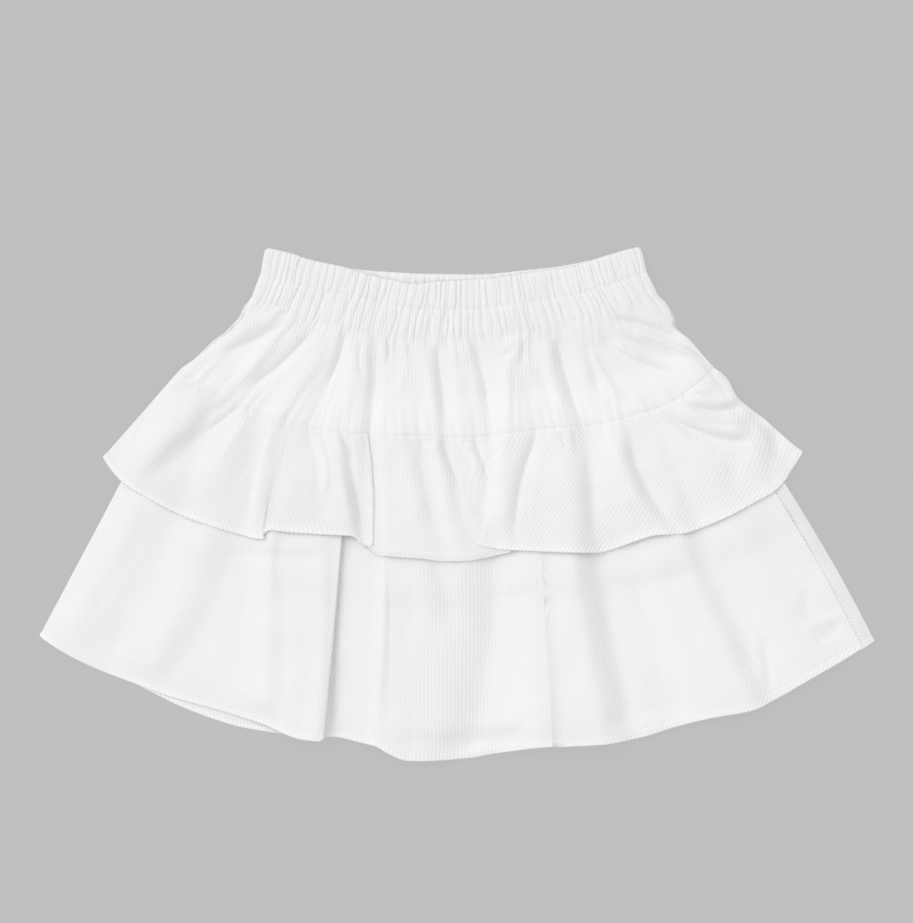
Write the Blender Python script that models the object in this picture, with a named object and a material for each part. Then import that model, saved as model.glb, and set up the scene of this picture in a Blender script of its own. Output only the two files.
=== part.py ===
"""Tiered ruffle skirt in white rib knit, laid flat on its back.

An elastic waistband in two channels, a gathered yoke, a circular ruffle over
a longer circular lower tier. Front and back are cut separately, so there are
eight cut pieces, each one object. The skirt lies on the plane Z = 0 with its
waist towards +Y and its hem towards -Y. All sizes below are millimetres.
"""

import math

import bmesh
import bpy
import numpy as np

# ---------------------------------------------------------------- sizes, mm
CLOTH = 1.2            # rib knit, one layer
LAYER_GAP = 0.4        # air between layers that lie on each other
SEAM_GAP = 0.8         # between the edges of two pieces at a seam
BAND_UNDER = 3.0       # back waistband, cloth and elastic, height of a channel
BAND_OVER = 3.2        # front waistband, the same
BAND_PINCH = 1.1       # how far the stitching between channels pulls in
CRINKLES_FRONT = 42    # gathers along the front waistband
CRINKLES_BACK = 21
CRINKLE = 0.9          # height of a waistband gather
CENTRE = (0.6, 0.0)    # middle of the outline, which stands over the origin
CELL = 2.0             # grid of the height map that upper layers rest on
REACH = 14.0           # a layer bridges the folds under it over this distance
DROP = (0.43, 0.54)    # where the back lower tier comes down off the back
                       # ruffle, as shares of the way from seam to hem

# Seam and edge lines seen from above, one row for each place where the line
# turns. Columns: x, y.
SEAM_LINE = (          # yoke to ruffle and lower tier
    (-183.0, 90.0), (-169.0, 80.7), (-151.0, 70.0), (-136.3, 64.0),
    (-113.0, 55.3), (-93.7, 51.3), (-65.0, 47.3), (-13.0, 45.3),
    (2.3, 44.4), (29.7, 47.3), (67.7, 51.3), (88.3, 52.7),
    (111.7, 58.0), (133.0, 64.0), (144.3, 69.3), (156.3, 77.3),
    (171.7, 90.7),
)
WAIST_LINE = (         # waistband to yoke
    (-136.3, 138.0), (-111.7, 129.3), (-88.3, 122.0), (-60.3, 115.3),
    (-41.7, 111.3), (-16.3, 110.7), (9.0, 112.0), (42.3, 115.3),
    (63.0, 118.8), (89.0, 125.6), (107.7, 130.8), (134.0, 139.4),
)
STITCH_LINE = (        # between the two elastic channels
    (-130.3, 154.0), (-99.7, 144.7), (-64.3, 137.3), (-24.3, 130.0),
    (9.0, 129.3), (29.0, 132.0), (51.7, 135.3), (75.7, 138.7),
    (95.7, 144.0), (126.7, 154.5),
)
FRONT_TOP_LINE = (
    (-127.0, 171.3), (-111.7, 168.0), (-97.7, 163.3), (-76.3, 158.7),
    (-63.0, 154.7), (-43.7, 150.0), (-27.7, 147.0), (-13.7, 148.7),
    (2.3, 149.6), (23.7, 151.1), (51.7, 155.3), (73.7, 158.0),
    (95.7, 164.7), (107.7, 168.3), (122.3, 172.0),
)
BACK_TOP_LINE = (
    (-127.0, 170.8), (-111.7, 167.5), (-97.7, 163.0), (-69.7, 157.3),
    (-46.3, 155.3), (-19.0, 154.0), (14.3, 153.6), (48.3, 156.7),
    (67.0, 158.7), (93.7, 164.0), (107.7, 168.0), (122.3, 171.4),
)

# One row for each ridge, trough, fold edge, turn-under or side edge, from the
# left side to the right. x_mid None keeps the fold straight. z is the height
# above what the layer rests on, at the seam, part way down, and at the hem.
#   name, x_top, x_mid, x_hem, y_hem, z_top, z_mid, z_hem
LOWER_FRONT_FOLDS = (
    ("side", -183.0, None, -277.9, -88.5, 0.0, 0.0, 0.0),
    ("ridge", -176.0, -213.0, -263.0, -98.5, 0.6, 3.2, 3.2),
    ("trough", -162.0, -191.0, -240.0, -110.0, 0.0, 0.2, 0.3),
    ("ridge", -148.0, -168.0, -213.0, -120.2, 1.0, 3.6, 4.0),
    ("trough", -138.0, -147.0, -195.0, -127.2, 0.2, 0.2, 0.3),
    ("rise", -131.0, -138.0, -158.0, -137.5, 0.5, 1.4, 1.0),
    ("ridge", -114.0, -124.0, -127.0, -147.5, 1.2, 5.4, 6.2),
    ("crease", -110.5, -118.8, -120.0, -150.5, 1.0, 4.6, 5.6),
    ("ridge", -91.0, None, -104.3, -156.5, 1.2, 4.6, 6.6),
    ("crest", -77.0, None, -92.0, -157.8, 1.6, 5.2, 9.4),
    ("fold edge", -69.7, None, -87.7, -155.3, 1.6, 5.0, 9.0),
    ("turn under", -73.7, None, -95.7, -155.3, 1.0, 2.6, 4.4),
    ("valley", -68.5, None, -81.7, -155.3, 0.0, 0.0, 0.3),
    ("rise", -63.0, None, -68.3, -158.0, 0.4, 0.8, 1.2),
    ("foot", -54.0, -55.0, -61.0, -159.7, 0.5, 1.6, 2.2),
    ("ridge", -47.0, -48.8, -54.5, -161.0, 1.4, 5.2, 6.4),
    ("crest", -43.0, -43.0, -44.5, -166.6, 1.5, 5.4, 6.8),
    ("ridge", -31.0, -28.0, -33.0, -170.9, 1.4, 5.0, 6.2),
    ("ridge", -6.0, 3.0, -21.0, -171.2, 1.4, 4.8, 6.0),
    ("trough", 15.0, 25.0, 8.0, -169.5, 0.0, 0.2, 0.2),
    ("rise", 27.0, 36.0, 24.0, -166.6, 0.5, 2.2, 2.2),
    ("ridge", 42.0, 53.0, 54.0, -162.2, 1.6, 7.0, 8.8),
    ("crease", 47.6, 57.9, 64.4, -161.4, 1.6, 7.2, 9.2),
    ("foot", 48.9, 59.2, 65.8, -161.4, 1.6, 7.1, 9.05),
    ("crest", 53.0, 63.6, 70.4, -161.5, 1.6, 7.1, 9.0),
    ("ridge", 65.0, 79.0, 97.0, -160.0, 1.6, 8.0, 9.6),
    ("trough", 79.0, 98.0, 123.0, -155.6, 0.3, 1.0, 1.3),
    ("foot", 92.0, 116.0, 146.0, -148.6, 0.0, 0.0, 0.0),
    ("ridge", 106.0, 134.0, 170.0, -142.5, 1.2, 4.4, 5.6),
    ("ridge", 118.0, 152.0, 197.0, -137.4, 1.2, 5.4, 7.0),
    ("trough", 127.0, 167.5, 213.5, -129.8, 0.0, 0.0, 0.2),
    ("ridge", 145.0, 192.3, 237.0, -116.0, 0.8, 2.6, 4.0),
    ("foot", 155.0, 209.5, 257.0, -104.7, 0.3, 0.8, 1.4),
    ("side", 161.3, 221.5, 270.6, -96.2, 0.0, 0.0, 0.0),
)
RUFFLE_FRONT_FOLDS = (
    ("side", -183.0, None, -235.7, 30.7, 0.0, 0.0, 0.0),
    ("ridge", -179.0, None, -229.7, 22.0, 0.6, 1.4, 1.4),
    ("ridge", -158.0, -190.0, -221.0, 13.6, 1.2, 4.8, 3.2),
    ("trough", -146.0, -176.0, -209.0, 6.2, 0.4, 0.2, 0.2),
    ("ridge", -136.0, -155.0, -181.0, -8.3, 1.0, 3.6, 2.6),
    ("trough", -131.0, -140.0, -158.0, -16.0, 0.6, 1.8, 1.6),
    ("rise", -124.0, -133.5, -143.5, -20.3, 0.8, 1.8, 1.7),
    ("ridge", -120.0, -130.5, -134.0, -22.8, 1.6, 3.8, 3.6),
    ("fold edge", -114.3, -124.0, -127.7, -23.3, 0.9, 2.3, 2.2),
    ("tuck", -113.2, -122.6, -129.6, -22.0, 0.8, 1.9, 1.6),
    ("valley", -111.0, -119.8, -123.5, -17.3, 0.6, 1.4, 1.1),
    ("ridge", -104.3, -107.7, -109.7, -18.7, 1.0, 2.2, 2.4),
    ("crease", -98.0, -92.0, -93.5, -19.8, 0.6, 1.4, 1.6),
    ("ridge", -83.0, -77.0, -69.5, -21.3, 1.8, 5.6, 5.8),
    ("trough", -76.0, -69.0, -63.5, -26.0, 0.5, 0.8, 1.0),
    ("flap", -69.0, -62.5, -60.0, -28.0, 1.2, 2.5, 2.4),
    ("fold edge", -59.0, -55.0, -54.7, -26.7, 1.1, 2.2, 2.5),
    ("turn under", -60.0, -57.0, -59.0, -28.0, 0.7, 1.3, 1.6),
    ("valley", -56.5, -52.5, -51.3, -34.0, 0.2, 0.3, 0.4),
    ("ridge", -48.0, -46.0, -43.0, -34.7, 1.4, 3.4, 2.8),
    ("ridge", -37.0, -30.0, -22.0, -36.2, 1.4, 3.6, 2.8),
    ("trough", -24.0, -15.0, -8.0, -37.9, 0.4, 0.8, 1.0),
    ("ridge", -16.0, -7.0, 3.0, -37.8, 1.3, 2.8, 2.0),
    ("trough", -9.0, 1.0, 14.0, -36.7, 0.4, 0.7, 0.8),
    ("ridge", 0.0, 5.5, 26.0, -34.2, 0.7, 0.9, 1.3),
    ("valley", 8.0, 8.5, 37.5, -31.3, 0.5, 0.7, 0.3),
    ("tuck", 16.0, 15.5, 25.0, -29.5, 0.8, 1.4, 1.3),
    ("fold edge", 24.0, 22.5, 13.7, -26.7, 1.2, 2.4, 2.4),
    ("ridge", 33.0, 30.0, 30.0, -30.2, 2.0, 5.0, 5.0),
    ("trough", 52.0, 44.5, 43.0, -30.8, 0.4, 0.8, 1.0),
    ("ridge", 70.5, 75.0, 77.0, -32.0, 1.4, 3.4, 3.6),
    ("trough", 87.5, 91.0, 94.0, -32.3, 0.3, 0.4, 0.4),
    ("ridge", 105.0, 112.0, 133.0, -20.6, 1.6, 5.0, 4.4),
    ("trough", 116.0, 127.0, 150.0, -19.6, 0.3, 0.3, 0.4),
    ("ridge", 130.0, 155.0, 180.0, -8.5, 1.2, 2.8, 2.6),
    ("trough", 145.0, 173.0, 197.0, 0.5, 0.5, 1.0, 0.8),
    ("ridge", 156.0, None, 214.0, 10.5, 0.9, 1.6, 1.2),
    ("side", 171.7, 198.5, 231.0, 34.0, 0.0, 0.0, 0.0),
)
# The yoke's lower edge is the seam line, so its rows have no y_hem.
#   name, x_top, x_mid, x_hem, z_top, z_mid, z_hem
YOKE_FRONT_FOLDS = (
    ("side", -136.3, -156.0, -183.0, 0.0, 0.0, 0.0),
    ("ridge", -125.7, None, -171.0, 0.6, 1.6, 1.0),
    ("trough", -115.0, -139.0, -163.0, 0.4, 0.8, 0.6),
    ("ridge", -107.0, None, -153.7, 0.9, 3.4, 2.0),
    ("trough", -98.3, -122.3, -147.0, 0.3, 0.2, 0.3),
    ("ridge", -85.7, -100.3, -120.3, 0.9, 3.6, 2.2),
    ("trough", -75.0, -84.3, -99.0, 0.3, 0.3, 0.4),
    ("ridge", -65.0, -70.0, -74.5, 1.2, 4.4, 4.4),
    ("fold edge", -59.5, -61.5, -65.5, 1.1, 4.1, 3.9),
    ("valley", -53.0, -54.6, -58.0, 0.2, 0.0, 0.0),
    ("ridge", -43.0, -45.5, -45.5, 0.9, 3.2, 3.8),
    ("crest", -20.5, -18.5, -14.5, 0.9, 3.4, 3.7),
    ("trough", -12.5, -9.5, -4.8, 0.3, 0.2, 0.3),
    ("ridge", -3.0, None, 7.0, 1.0, 3.7, 3.0),
    ("trough", 9.0, 17.7, 21.0, 0.3, 0.3, 0.8),
    ("rise", 24.0, 28.0, 30.0, 0.8, 2.8, 2.8),
    ("crease", 36.3, 36.2, 36.9, 0.9, 4.0, 4.4),
    ("valley", 49.0, 51.0, 58.0, 0.4, 1.4, 1.6),
    ("ridge", 58.0, 63.5, 73.0, 1.0, 3.4, 3.4),
    ("trough", 64.5, 72.3, 82.3, 0.3, 0.2, 0.1),
    ("ridge", 77.0, 84.5, 92.5, 0.9, 2.6, 2.4),
    ("crease", 89.0, 94.3, 99.0, 0.4, 1.2, 1.4),
    ("trough", 97.0, 108.5, 122.3, 0.6, 1.3, 1.0),
    ("ridge", 105.0, 122.3, 138.3, 0.8, 1.9, 1.4),
    ("trough", 114.3, 131.0, 153.0, 0.5, 1.1, 0.7),
    ("ridge", 125.5, None, 163.7, 0.6, 1.4, 0.8),
    ("side", 134.0, 151.0, 171.7, 0.0, 0.0, 0.0),
)
# The back lies under its own weight and the front's, so its folds are low.
YOKE_BACK_FOLDS = (
    ("side", -135.9, None, -182.4, 0.0, 0.0, 0.0),
    ("ridge", -112.0, -130.0, -150.0, 0.3, 0.7, 0.5),
    ("trough", -92.0, None, -124.0, 0.0, 0.0, 0.0),
    ("ridge", -66.0, None, -80.0, 0.3, 0.8, 0.6),
    ("trough", -44.0, None, -55.0, 0.0, 0.0, 0.0),
    ("ridge", -18.0, None, -24.0, 0.3, 0.7, 0.6),
    ("trough", 4.0, None, 8.0, 0.0, 0.0, 0.0),
    ("ridge", 30.0, None, 40.0, 0.3, 0.8, 0.6),
    ("trough", 58.0, None, 74.0, 0.0, 0.0, 0.0),
    ("ridge", 84.0, None, 112.0, 0.3, 0.7, 0.5),
    ("trough", 108.0, None, 142.0, 0.0, 0.0, 0.0),
    ("side", 133.6, None, 171.1, 0.0, 0.0, 0.0),
)
RUFFLE_BACK_FOLDS = (
    ("side", -182.4, None, -233.5, 31.0, 0.0, 0.0, 0.0),
    ("ridge", -160.0, None, -214.0, 13.0, 0.2, 0.6, 0.7),
    ("trough", -134.0, None, -170.0, -7.0, 0.0, 0.0, 0.0),
    ("ridge", -108.0, None, -134.0, -17.0, 0.3, 0.7, 0.9),
    ("trough", -80.0, None, -96.0, -19.0, 0.0, 0.0, 0.0),
    ("ridge", -54.0, None, -60.0, -22.0, 0.3, 0.7, 0.9),
    ("trough", -26.0, None, -28.0, -31.0, 0.0, 0.0, 0.0),
    ("ridge", 4.0, None, 6.0, -32.0, 0.3, 0.7, 0.9),
    ("trough", 34.0, None, 42.0, -27.0, 0.0, 0.0, 0.0),
    ("ridge", 64.0, None, 80.0, -27.0, 0.3, 0.7, 0.9),
    ("trough", 94.0, None, 120.0, -23.0, 0.0, 0.0, 0.0),
    ("ridge", 124.0, None, 162.0, -11.0, 0.3, 0.6, 0.8),
    ("trough", 150.0, None, 202.0, 6.0, 0.0, 0.0, 0.0),
    ("side", 170.5, 196.0, 228.5, 34.0, 0.0, 0.0, 0.0),
)
# The back lower tier wraps round the right side up to the front's side seam.
LOWER_BACK_FOLDS = (
    ("side", -182.4, None, -274.0, -91.5, 0.0, 0.0, 0.0),
    ("ridge", -164.0, None, -246.0, -104.0, 0.2, 0.5, 0.8),
    ("trough", -146.0, None, -210.0, -122.0, 0.0, 0.0, 0.0),
    ("ridge", -128.0, None, -180.0, -136.5, 0.2, 0.5, 1.0),
    ("trough", -108.0, None, -140.0, -149.5, 0.0, 0.0, 0.0),
    ("ridge", -84.0, None, -108.0, -153.5, 0.2, 0.5, 1.0),
    ("trough", -56.0, None, -72.0, -154.0, 0.0, 0.0, 0.0),
    ("ridge", -28.0, None, -34.0, -166.0, 0.2, 0.5, 1.0),
    ("trough", 0.0, None, 0.0, -167.0, 0.0, 0.0, 0.0),
    ("ridge", 28.0, None, 40.0, -160.0, 0.2, 0.5, 1.0),
    ("trough", 58.0, None, 84.0, -158.0, 0.0, 0.0, 0.0),
    ("ridge", 88.0, None, 128.0, -150.0, 0.2, 0.5, 1.0),
    ("trough", 112.0, None, 170.0, -139.0, 0.0, 0.0, 0.0),
    ("ridge", 134.0, None, 208.0, -128.0, 0.2, 0.5, 0.8),
    ("trough", 148.0, 199.0, 244.0, -110.0, 0.0, 0.0, 0.0),
    ("under", 161.0, 222.0, 272.0, -96.0, 0.0, 0.0, 0.0),
)
SIDE_WRAP = (          # columns: out from the last row at seam, at hem, height
    (7.4, 4.8, 0.4),
    (10.2, 6.6, 1.6),
    (8.4, 5.0, 2.8),
    (3.4, 0.0, 3.0),
)

YOKE_SIDES = (         # columns: share down the side, left edge in, right edge in
    (0.00, 0.0, 0.0),
    (0.12, 0.6, -1.8),
    (0.30, 4.4, 0.0),
    (0.46, 4.6, 4.2),
    (0.62, 2.0, 0.8),
    (0.82, 1.4, 0.2),
    (1.00, 0.0, 0.0),
)
RUFFLE_SIDES = (       # the same for the ruffle
    (0.00, 0.0, 0.0),
    (0.08, 0.0, -2.0),
    (0.13, 0.0, -2.2),
    (0.19, 0.0, -1.2),
    (0.27, 0.0, 1.2),
    (0.36, 0.0, 3.0),
    (0.50, 0.0, 1.5),
    (0.63, 0.0, -0.4),
    (0.76, 0.0, -0.3),
    (0.90, 0.0, 0.0),
    (1.00, 0.0, 0.0),
)

WHITE = (0.87, 0.87, 0.85)
ROUGHNESS = 0.85


# ------------------------------------------------------------ interpolation
def slopes(knots, values):
    """Slopes at the knots that never overshoot: zero at a turning point."""
    steps = np.diff(knots)
    rises = np.diff(values, axis=0)
    shape = (-1,) + (1,) * (values.ndim - 1)
    rates = rises / steps.reshape(shape)
    out = np.zeros_like(values)
    out[0], out[-1] = rates[0], rates[-1]
    same = rates[:-1] * rates[1:] > 0
    total = rates[:-1] + rates[1:]
    safe = np.where(same, total, 1.0)
    out[1:-1] = np.where(same, 2.0 * rates[:-1] * rates[1:] / safe, 0.0)
    return out


def smooth(knots, values, at):
    """Values at the places `at` on a smooth line through the knots."""
    knots = np.asarray(knots, float)
    values = np.asarray(values, float)
    at = np.clip(np.asarray(at, float), knots[0], knots[-1])
    tangents = slopes(knots, values)
    i = np.clip(np.searchsorted(knots, at, side="right") - 1, 0, len(knots) - 2)
    width = knots[i + 1] - knots[i]
    t = (at - knots[i]) / width
    shape = (-1,) + (1,) * (values.ndim - 1)
    t, width = t.reshape(shape), width.reshape(shape)
    return (
        (1 + 2 * t) * (1 - t) ** 2 * values[i]
        + t * (1 - t) ** 2 * width * tangents[i]
        + t * t * (3 - 2 * t) * values[i + 1]
        + t * t * (t - 1) * width * tangents[i + 1]
    )


def line_y(line, x):
    table = np.array(line)
    return smooth(table[:, 0], table[:, 1], x)


def ease(t):
    t = np.clip(t, 0.0, 1.0)
    return t * t * (3 - 2 * t)


# ---------------------------------------------------------- layers in stack
class HeightMap:
    """The top of everything laid so far, as a grid of heights."""

    def __init__(self):
        self.x = np.arange(-300.0, 300.0 + CELL, CELL)
        self.y = np.arange(-195.0, 195.0 + CELL, CELL)
        self.z = np.zeros((len(self.x), len(self.y)))

    def add(self, grid, times=5):
        """Takes in a sheet's upper surface, given as rows and columns."""
        rows = np.linspace(0, grid.shape[0] - 1, (grid.shape[0] - 1) * times + 1)
        cols = np.linspace(0, grid.shape[1] - 1, (grid.shape[1] - 1) * times + 1)
        r0 = np.minimum(rows.astype(int), grid.shape[0] - 2)
        c0 = np.minimum(cols.astype(int), grid.shape[1] - 2)
        fr = (rows - r0)[:, None, None]
        fc = (cols - c0)[None, :, None]
        fine = (
            grid[r0][:, c0] * (1 - fr) * (1 - fc)
            + grid[r0 + 1][:, c0] * fr * (1 - fc)
            + grid[r0][:, c0 + 1] * (1 - fr) * fc
            + grid[r0 + 1][:, c0 + 1] * fr * fc
        ).reshape(-1, 3)
        i = np.rint((fine[:, 0] - self.x[0]) / CELL).astype(int)
        j = np.rint((fine[:, 1] - self.y[0]) / CELL).astype(int)
        np.maximum.at(self.z, (i, j), fine[:, 2])

    def rest(self, reach, blur):
        """The smooth height at which the next layer lies on this one."""
        steps = int(math.ceil(reach / CELL))
        spread = self.z.copy()
        for di in range(-steps, steps + 1):
            for dj in range(-steps, steps + 1):
                if math.hypot(di, dj) * CELL <= reach + 1e-6:
                    spread = np.maximum(spread, np.roll(self.z, (di, dj), (0, 1)))
        for _ in range(blur):
            spread = (
                2 * spread
                + np.roll(spread, 1, 0) + np.roll(spread, -1, 0)
                + np.roll(spread, 1, 1) + np.roll(spread, -1, 1)
            ) / 6
        return spread

    def sample(self, field, x, y):
        fx = np.clip((x - self.x[0]) / CELL, 0, len(self.x) - 1.001)
        fy = np.clip((y - self.y[0]) / CELL, 0, len(self.y) - 1.001)
        i, j = fx.astype(int), fy.astype(int)
        a, b = fx - i, fy - j
        return (
            field[i, j] * (1 - a) * (1 - b) + field[i + 1, j] * a * (1 - b)
            + field[i, j + 1] * (1 - a) * b + field[i + 1, j + 1] * a * b
        )


def fold_grid(folds, top_line, hem_line, across, v, z_place, top_in, hem_in, sides=None):
    """Points of a panel, columns from left to right and rows downward.

    Each fold row is a line from the upper seam to the hem. Between them the
    panel is smooth. v places the rows of points; top_in and hem_in hold the
    edges back from a seam.
    """
    lines = []
    for row in folds:
        if hem_line is None:
            _, x_top, x_mid, x_hem, y_hem, z_top, z_mid, z_hem = row
        else:
            _, x_top, x_mid, x_hem, z_top, z_mid, z_hem = row
            y_hem = float(line_y(hem_line, [x_hem])[0])
        y_top = float(line_y(top_line, [x_top])[0])
        x_half = (x_top + x_hem) / 2 if x_mid is None else x_mid
        bulge = x_half - (x_top + x_hem) / 2
        length = math.hypot(x_hem - x_top, y_hem - y_top)
        place = top_in / length + v * (1 - (top_in + hem_in) / length)
        x = x_top + (x_hem - x_top) * place + 4 * bulge * place * (1 - place)
        y = y_top + (y_hem - y_top) * place
        z = smooth((0.0, z_place, 1.0), np.array((z_top, z_mid, z_hem)), place)
        lines.append(np.stack([x, y, z], 1))
    lines = np.array(lines)
    if sides is not None:
        table = np.array(sides)
        lines[0, :, 0] += smooth(table[:, 0], table[:, 1], v)
        lines[-1, :, 0] -= smooth(table[:, 0], table[:, 2], v)
    at = np.linspace(0, len(folds) - 1, (len(folds) - 1) * across + 1)
    return smooth(np.arange(len(folds)), lines, at)


def normals_of(grid):
    du = np.gradient(grid, axis=0)
    dv = np.gradient(grid, axis=1)
    n = np.cross(dv, du)
    n /= np.linalg.norm(n, axis=2, keepdims=True)
    return n


def wall(grid, thickness):
    """Upper and lower faces of a sheet round its middle surface."""
    n = normals_of(grid) * (thickness / 2)
    return grid + n, grid - n


# --------------------------------------------------------------- mesh making
def material(name):
    made = bpy.data.materials.new(name)
    made.use_nodes = True
    shader = made.node_tree.nodes["Principled BSDF"]
    shader.inputs["Base Color"].default_value = WHITE + (1.0,)
    shader.inputs["Roughness"].default_value = ROUGHNESS
    shader.inputs["Metallic"].default_value = 0.0
    made.diffuse_color = WHITE + (1.0,)
    return made


def make_object(name, points, quads):
    mesh = bpy.data.meshes.new(name)
    points = (points - np.array(CENTRE + (0.0,))) / 1000.0
    mesh.from_pydata([tuple(p) for p in points], [], quads)
    work = bmesh.new()
    work.from_mesh(mesh)
    bmesh.ops.triangulate(work, faces=work.faces[:])
    bmesh.ops.recalc_face_normals(work, faces=work.faces[:])
    if work.calc_volume(signed=True) < 0:
        bmesh.ops.reverse_faces(work, faces=work.faces[:])
    work.to_mesh(mesh)
    work.free()
    mesh.shade_smooth()
    mesh.materials.append(material(name + "_knit"))
    made = bpy.data.objects.new(name, mesh)
    bpy.context.scene.collection.objects.link(made)
    return made


def sheet_object(name, upper, lower):
    """A closed wall from the two faces of a sheet, joined round its rim."""
    nu, nv = upper.shape[:2]
    points = np.concatenate([upper.reshape(-1, 3), lower.reshape(-1, 3)])
    low = nu * nv
    quads = []
    for i in range(nu - 1):
        for j in range(nv - 1):
            a, b = i * nv + j, (i + 1) * nv + j
            quads.append((a, a + 1, b + 1, b))
            quads.append((low + a, low + b, low + b + 1, low + a + 1))
    rim = [(i, 0) for i in range(nu)] + [(nu - 1, j) for j in range(1, nv)]
    rim += [(i, nv - 1) for i in range(nu - 2, -1, -1)]
    rim += [(0, j) for j in range(nv - 2, 0, -1)]
    for k, (i, j) in enumerate(rim):
        i2, j2 = rim[(k + 1) % len(rim)]
        a, b = i * nv + j, i2 * nv + j2
        quads.append((a, b, low + b, low + a))
    return make_object(name, points, quads)


def ring_object(name, rings):
    """A closed body from rings of equal length, capped at both ends."""
    count, around = rings.shape[:2]
    quads = []
    for i in range(count - 1):
        for k in range(around):
            a, b = i * around + k, i * around + (k + 1) % around
            quads.append((a, b, b + around, a + around))
    quads.append(tuple(range(around))[::-1])
    quads.append(tuple((count - 1) * around + k for k in range(around)))
    return make_object(name, rings.reshape(-1, 3), quads)


# ------------------------------------------------------------------- pieces
def band(name, top_line, base, height, crinkles, samples):
    """A waistband half: two elastic channels, gathered across their width."""
    count = crinkles * samples + 1
    u = np.linspace(0.0, 1.0, count)
    edges = []
    for line in (top_line, STITCH_LINE, WAIST_LINE):
        table = np.array(line)
        x = table[0, 0] + (table[-1, 0] - table[0, 0]) * u
        edges.append(np.stack([x, line_y(line, x)], 1))
    top, stitch, seam = edges
    ridge = 0.5 + 0.5 * np.cos(2 * math.pi * crinkles * u)
    # Columns: place from top edge to seam, height as a share, gather.
    section = (
        (0.00, 0.00, 0.0),
        (0.00, 0.70, 0.3),
        (0.25, 1.00, 1.0),
        (0.50, 1.00 - BAND_PINCH / height, 0.5),
        (0.75, 1.00, 1.0),
        (1.00, 0.65, 0.3),
        (1.00, 0.00, 0.0),
    )
    rings = []
    for place, high, gather in section:
        if place <= 0.5:
            xy = top + (stitch - top) * (place / 0.5)
        else:
            xy = stitch + (seam - stitch) * ((place - 0.5) / 0.5)
        if place == 1.0:
            xy = xy + np.array([0.0, SEAM_GAP / 2])
        z = base + high * height + CRINKLE * gather * (ridge - 1.0)
        rings.append(np.column_stack([xy, z]))
    rings = np.stack(rings, 1)
    # The ends round in, so the corners are soft.
    for end, step in ((0, 1), (-1, -1)):
        middle = rings[end].mean(0)
        rings[end] = middle + (rings[end] - middle) * np.array([1.0, 0.94, 0.7])
    return ring_object(name, rings)


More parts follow.
